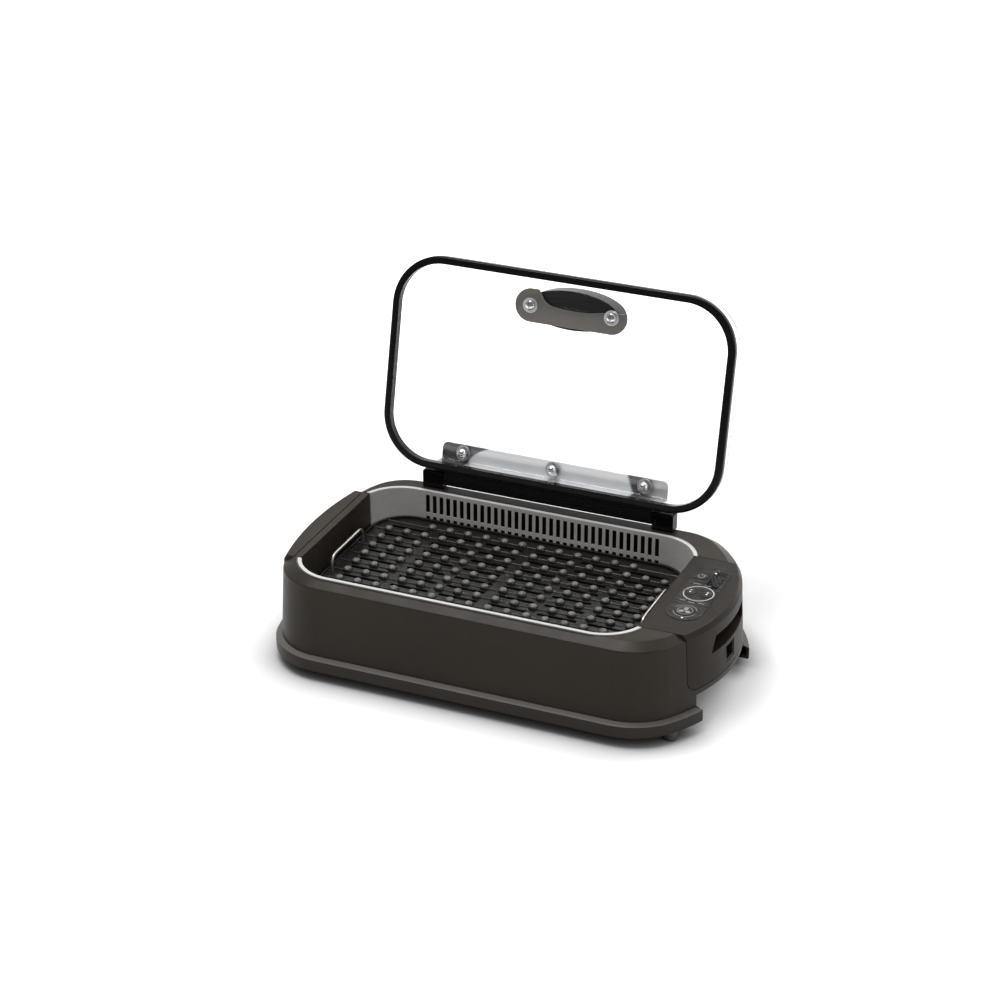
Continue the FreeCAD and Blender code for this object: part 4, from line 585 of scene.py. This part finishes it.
def build_bead(bm):
    """A round bead along the scooped edge of the plate inside the lid."""
    points = [Vector((x * 62.5, y * 17.75, 0)) for x, y in SCOOP]
    ends = [2 * points[0] - points[1]] + points + [2 * points[-1] - points[-2]]
    path = []
    for a, b, c, d in zip(ends, ends[1:], ends[2:], ends[3:]):
        for k in range(8):
            t = k / 8
            path.append(0.5 * (2 * b + (c - a) * t + (2 * a - 5 * b + 4 * c - d) * t**2
                               + (3 * b - a - 3 * c + d) * t**3))
    rings = []
    for here, ahead in zip(path, path[1:]):
        side = Vector((here.y - ahead.y, ahead.x - here.x, 0)).normalized()
        rings.append([tuple((here - side * 0.9 + side * 0.8 * math.cos(t)
                             + Vector((0, 0, 0.8 * math.sin(t)))) / 1000)
                      for t in (math.pi * k / 5 for k in range(10))])
    ring_loft(bm, rings, lid_axes(HINGE.x, GRIP_ALONG, GRIP_IN))


def build_foot(place):
    """A rubber foot with three grooves and a neck into the base."""
    def build(bm):
        rings = [circle(4.6, 0.9), circle(4.9, 0.05), circle(6.0, 0.0), circle(6.45, 0.35)]
        for k in range(3):
            z = 2.2 + k * 2.4
            r = 6.5 + 1.5 * z / 11
            rings += [circle(r, z - 0.5), circle(r - 0.35, z - 0.2), circle(r - 0.35, z + 0.2),
                      circle(r, z + 0.5)]
        rings += [circle(8.0, 10.6), circle(7.8, 11.0), circle(3.0, 11.0), circle(3.0, 13.4)]
        ring_loft(bm, rings, Matrix.Translation(place))
    return build


PANEL_TOP, KEY_TOP = 108.5, 108.9
INK = 0.03


def flat_loop(bm, points, low, high):
    """A thin flat plate over a closed outline in drawing millimetres."""
    bottom = [bm.verts.new(at(x, y, low)) for x, y in points]
    top = [bm.verts.new(at(x, y, high)) for x, y in points]
    count = len(points)
    bm.faces.new(top)
    bm.faces.new(bottom[::-1])
    for i in range(count):
        j = (i + 1) % count
        bm.faces.new((bottom[i], bottom[j], top[j], top[i]))


def arc_band(bm, x, y, inner, outer, low, high, start=0.0, sweep=360.0, count=72):
    """A flat band along an arc; a full turn closes on itself."""
    whole = sweep >= 360
    steps = count if whole else count + 1
    loops = []
    for i in range(steps):
        a = math.radians(start + sweep * i / count)
        c, s = math.cos(a), math.sin(a)
        loops.append([bm.verts.new(at(x + r * c, y + r * s, z))
                      for r, z in ((inner, low), (outer, low), (outer, high), (inner, high))])
    pairs = list(zip(loops, loops[1:] + loops[:1])) if whole else list(zip(loops, loops[1:]))
    for a, b in pairs:
        for k in range(4):
            m = (k + 1) % 4
            bm.faces.new((a[k], a[m], b[m], b[k]))
    if not whole:
        bm.faces.new(loops[0][::-1])
        bm.faces.new(loops[-1])


def dash(bm, x, y, length, width, low, high, turn=0.0):
    """A rounded stroke centred at a point."""
    half, r = length / 2 - width / 2, width / 2
    points = []
    for end, first in ((1, -90), (-1, 90)):
        for k in range(9):
            a = math.radians(first + 180 * k / 8)
            points.append((end * half + r * math.cos(a), r * math.sin(a)))
    c, s = math.cos(math.radians(turn)), math.sin(math.radians(turn))
    flat_loop(bm, [(x + c * u - s * v, y + s * u + c * v) for u, v in points], low, high)


def dot(bm, x, y, radius, low, high):
    flat_loop(bm, [(x + radius * math.cos(2 * math.pi * k / 28), y + radius * math.sin(2 * math.pi * k / 28))
                   for k in range(28)], low, high)


RING_X, RING_Y = 214.0, 4.4
FAN_X, FAN_Y = 213.5, -34.0
POWER_X, POWER_Y = 204.5, 40.0
DISPLAY_X = 221.5


def build_ring(bm):
    arc_band(bm, RING_X, RING_Y, 14.5, 15.7, PANEL_TOP, PANEL_TOP + INK * 2)


def build_panel_marks(bm):
    low, high = PANEL_TOP, PANEL_TOP + INK
    for x, y, length in ((205.5, 23.6, 8), (217.5, 22.4, 7), (203.5, -13.6, 6), (213.0, -15.4, 7),
                         (223.0, -14.2, 7)):
        dash(bm, x, y, length, 1.0, low, high)
    for start in (200, 20):
        arc_band(bm, FAN_X, FAN_Y, 11.4, 12.0, low, high, start, 140)


def build_lights(bm):
    for x, y in ((215.4, -48.1), (215.9, 51.3)):
        dot(bm, x, y, 1.15, PANEL_TOP, PANEL_TOP + INK * 2)


def build_power_sign(bm):
    arc_band(bm, POWER_X, POWER_Y, 3.0, 3.7, KEY_TOP, KEY_TOP + INK, 125, 290)
    dash(bm, POWER_X, POWER_Y + 3.0, 3.6, 0.7, KEY_TOP, KEY_TOP + INK, 90)


def build_fan_sign(bm):
    for k in range(3):
        a = math.radians(90 + 120 * k)
        blade = []
        for i in range(25):
            t = 2 * math.pi * i / 24
            u, v = 3.6 + 2.9 * math.cos(t), 1.5 * math.sin(t) + 0.9 * math.cos(t / 2)
            blade.append((FAN_X + u * math.cos(a) - v * math.sin(a), FAN_Y + u * math.sin(a) + v * math.cos(a)))
        flat_loop(bm, blade[:-1], KEY_TOP, KEY_TOP + INK)
    arc_band(bm, FAN_X, FAN_Y, 7.4, 7.9, KEY_TOP, KEY_TOP + INK)


def build_temperature_dot(x, plus):
    def build(bm):
        dot(bm, x, 5.0, 1.0, KEY_TOP, KEY_TOP + INK)
        dash(bm, x, 8.6, 2.6, 0.6, KEY_TOP, KEY_TOP + INK)
        if plus:
            for y in (9.65, 7.55):
                dash(bm, x, y, 1.5, 0.6, KEY_TOP, KEY_TOP + INK, 90)
    return build


def build_digits(bm):
    """Unlit seven-segment figures under the display window's gloss."""
    low, high = PANEL_TOP, PANEL_TOP + INK
    for k in range(3):
        y = 28.0 + 8.0 * k
        for shift in (-2.4, 2.4):
            for side in (-1, 1):
                dash(bm, DISPLAY_X + side * 2.1, y + shift, 3.6, 0.7, low, high)
        for level in (-1, 0, 1):
            dash(bm, DISPLAY_X + level * 4.2, y, 3.6, 0.7, low, high, 90)


BEVELS = {
    "base_skirt": 0.4, "left_handle": 0.5, "hinge_block_left": 0.4, "hinge_block_right": 0.4, "hinge_barrel": 0.4,
    "hinge_bracket": 0.3, "control_panel": 0.25, "display_window": 0.2, "grip_plate": 0.3, "lid_grip": 0.5,
    "module_cover": 0.3, "inlet_socket": 0.3, "contact_block": 0.3, "fan_frame": 0.3, "control_board": 0.15,
    "key_switches": 0.3, "element_braces": 0.2, "fan_motor": 0.4,
}
REPLACED = ("bracket_fasteners", "grip_screws", "foot_front_left", "foot_front_right", "foot_rear_left",
            "foot_rear_right")
for name in NODES:
    if name not in REPLACED:
        dress(name, BEVELS.get(name, 0.0))

for name, build in (("bracket_fasteners", build_bracket_fasteners), ("grip_screws", build_grip_screws)):
    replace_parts(add_piece(name + "_detail", "lid", "fastener_chrome", build), name)
WASHER_SATIN = polished("washer_satin", (0.62, 0.62, 0.62), 0.30)
add_piece("washers", "lid", "fastener_chrome", build_washers, WASHER_SATIN)
add_piece("grip_plate_bead", "lid", "grip_plate_plastic", build_bead)
for name in REPLACED[2:]:
    low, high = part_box(name)
    place = Vector(((low.x + high.x) / 2, (low.y + high.y) / 2, low.z))
    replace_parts(add_piece(name + "_ribbed", "base", "foot_rubber", build_foot(place)), name)

add_piece("temperature_ring", "module", "panel_gloss", build_ring, PRINT_PALE)
add_piece("panel_marks", "module", "panel_gloss", build_panel_marks, PRINT_GREY)
add_piece("panel_lights", "module", "panel_gloss", build_lights, PRINT_WHITE_GLOW)
DIGIT_GREY = printed("digit_grey", (0.022, 0.022, 0.022))
add_piece("display_digits", "module", "display_gloss", build_digits, DIGIT_GREY)
add_piece("power_sign", "power_button", "key_plastic", build_power_sign, PRINT_GREY)
add_piece("fan_sign", "fan_button", "key_plastic", build_fan_sign, PRINT_GREY)
add_piece("cooler_sign", "cooler_button", "key_plastic", build_temperature_dot(205.0, False), PRINT_WHITE_GLOW)
add_piece("hotter_sign", "hotter_button", "key_plastic", build_temperature_dot(222.0, True), PRINT_WHITE_GLOW)


# Studio

def wire(tree, operation, *values):
    """A maths node on sockets and numbers."""
    made = tree.nodes.new("ShaderNodeMath")
    made.operation = operation
    for socket, value in zip(made.inputs, values):
        if isinstance(value, (int, float)):
            socket.default_value = value
        else:
            tree.links.new(value, socket)
    return made.outputs["Value"]


def make_world():
    """White where it is seen, a plain grey level as light, and in mirrors white behind and dim in front."""
    world = bpy.data.worlds.new("studio")
    scene.world = world
    world.use_nodes = True
    tree = world.node_tree
    back = tree.nodes["Background"]
    back.inputs["Color"].default_value = (1, 1, 1, 1)
    path = tree.nodes.new("ShaderNodeLightPath").outputs
    split = tree.nodes.new("ShaderNodeSeparateXYZ")
    tree.links.new(tree.nodes.new("ShaderNodeTexCoord").outputs["Generated"], split.inputs["Vector"])
    depth = tree.nodes.new("ShaderNodeMapRange")
    for key, value in (("From Min", -0.6), ("From Max", 0.3), ("To Min", 0.25), ("To Max", 1.0)):
        depth.inputs[key].default_value = value
    tree.links.new(split.outputs["Y"], depth.inputs["Value"])
    mirror = wire(tree, "MULTIPLY", path["Is Glossy Ray"], depth.outputs["Result"])
    seen = wire(tree, "MAXIMUM", path["Is Camera Ray"], path["Is Transmission Ray"])
    level = wire(tree, "MAXIMUM", seen, mirror)
    level = wire(tree, "MAXIMUM", level, 0.25)
    tree.links.new(level, back.inputs["Strength"])


def make_floor():
    """Pale paper that keeps the shadow; where it is seen, a glow that grows outward lifts it to white. Ambient
    occlusion darkens paper and glow near the object as a painted contact shadow.
    """
    mesh = bpy.data.meshes.new("floor")
    half = 6.0
    corners = [(-half, -half, 0), (half, -half, 0), (half, half, 0), (-half, half, 0)]
    mesh.from_pydata(corners, [], [(0, 1, 2, 3)])
    floor = bpy.data.objects.new("floor", mesh)
    scene.collection.objects.link(floor)
    material = bpy.data.materials.new("floor_paper")
    material.use_nodes = True
    tree = material.node_tree
    tree.nodes.remove(tree.nodes["Principled BSDF"])
    paper = tree.nodes.new("ShaderNodeBsdfDiffuse")
    # Ambient occlusion darkens the paper and, squared, its glow near the object: a painted contact shadow.
    painted_contact_shadow = tree.nodes.new("ShaderNodeAmbientOcclusion")
    painted_contact_shadow.samples = 16
    painted_contact_shadow.inputs["Distance"].default_value = 0.035
    painted_contact_shadow.inputs["Color"].default_value = (0.82, 0.82, 0.82, 1)
    tree.links.new(painted_contact_shadow.outputs["Color"], paper.inputs["Color"])
    glow = tree.nodes.new("ShaderNodeEmission")
    path = tree.nodes.new("ShaderNodeLightPath").outputs
    seen = wire(tree, "MAXIMUM", path["Is Camera Ray"], path["Is Transmission Ray"])
    seen = wire(tree, "MAXIMUM", seen, path["Is Glossy Ray"])
    reach = tree.nodes.new("ShaderNodeVectorMath")
    reach.operation = "LENGTH"
    tree.links.new(tree.nodes.new("ShaderNodeTexCoord").outputs["Object"], reach.inputs[0])
    level = tree.nodes.new("ShaderNodeMapRange")
    for key, value in (("From Min", 0.35), ("From Max", 0.9), ("To Min", 0.25), ("To Max", 1.0)):
        level.inputs[key].default_value = value
    tree.links.new(reach.outputs["Value"], level.inputs["Value"])
    shade = wire(tree, "MULTIPLY", painted_contact_shadow.outputs["AO"], painted_contact_shadow.outputs["AO"])
    level = wire(tree, "MULTIPLY", level.outputs["Result"], shade)
    tree.links.new(wire(tree, "MULTIPLY", seen, level), glow.inputs["Strength"])
    both = tree.nodes.new("ShaderNodeAddShader")
    tree.links.new(paper.outputs["BSDF"], both.inputs[0])
    tree.links.new(glow.outputs["Emission"], both.inputs[1])
    tree.links.new(both.outputs["Shader"], tree.nodes["Material Output"].inputs["Surface"])
    mesh.materials.append(material)


def softbox(name, place, target, size, watts):
    """A soft rectangular lamp aimed at a point."""
    light = bpy.data.lights.new(name, "AREA")
    light.shape = "RECTANGLE"
    light.size, light.size_y = size
    light.energy = watts
    lamp = bpy.data.objects.new(name, light)
    lamp.location = place
    lamp.rotation_mode = "QUATERNION"
    lamp.rotation_quaternion = (Vector(target) - Vector(place)).to_track_quat("-Z", "Y")
    scene.collection.objects.link(lamp)


def make_camera():
    """The photograph's view, fitted to the outlines of rim, lid and body."""
    azimuth, elevation = math.radians(23.1621062), math.radians(26.4)
    data = bpy.data.cameras.new("camera")
    data.sensor_width = 36.0
    data.lens = 98.70785
    data.clip_end = 50.0
    camera = bpy.data.objects.new("camera", data)
    camera.location = at(971.654, -2265.441, 1395.667)
    look = Vector((-math.sin(azimuth) * math.cos(elevation), math.cos(azimuth) * math.cos(elevation),
                   -math.sin(elevation)))
    camera.rotation_mode = "QUATERNION"
    camera.rotation_quaternion = look.to_track_quat("-Z", "Y")
    scene.collection.objects.link(camera)
    scene.camera = camera


make_world()
make_floor()
softbox("key_light", (-0.45, -0.35, 2.2), (0, 0, 0.05), (1.2, 1.2), 40)
softbox("back_light", (0.6, 1.5, 1.6), (0, 0, 0.1), (1.6, 1.0), 18)
softbox("right_light", (1.9, -0.3, 0.9), (0.1, 0, 0.08), (1.0, 1.0), 6)
make_camera()
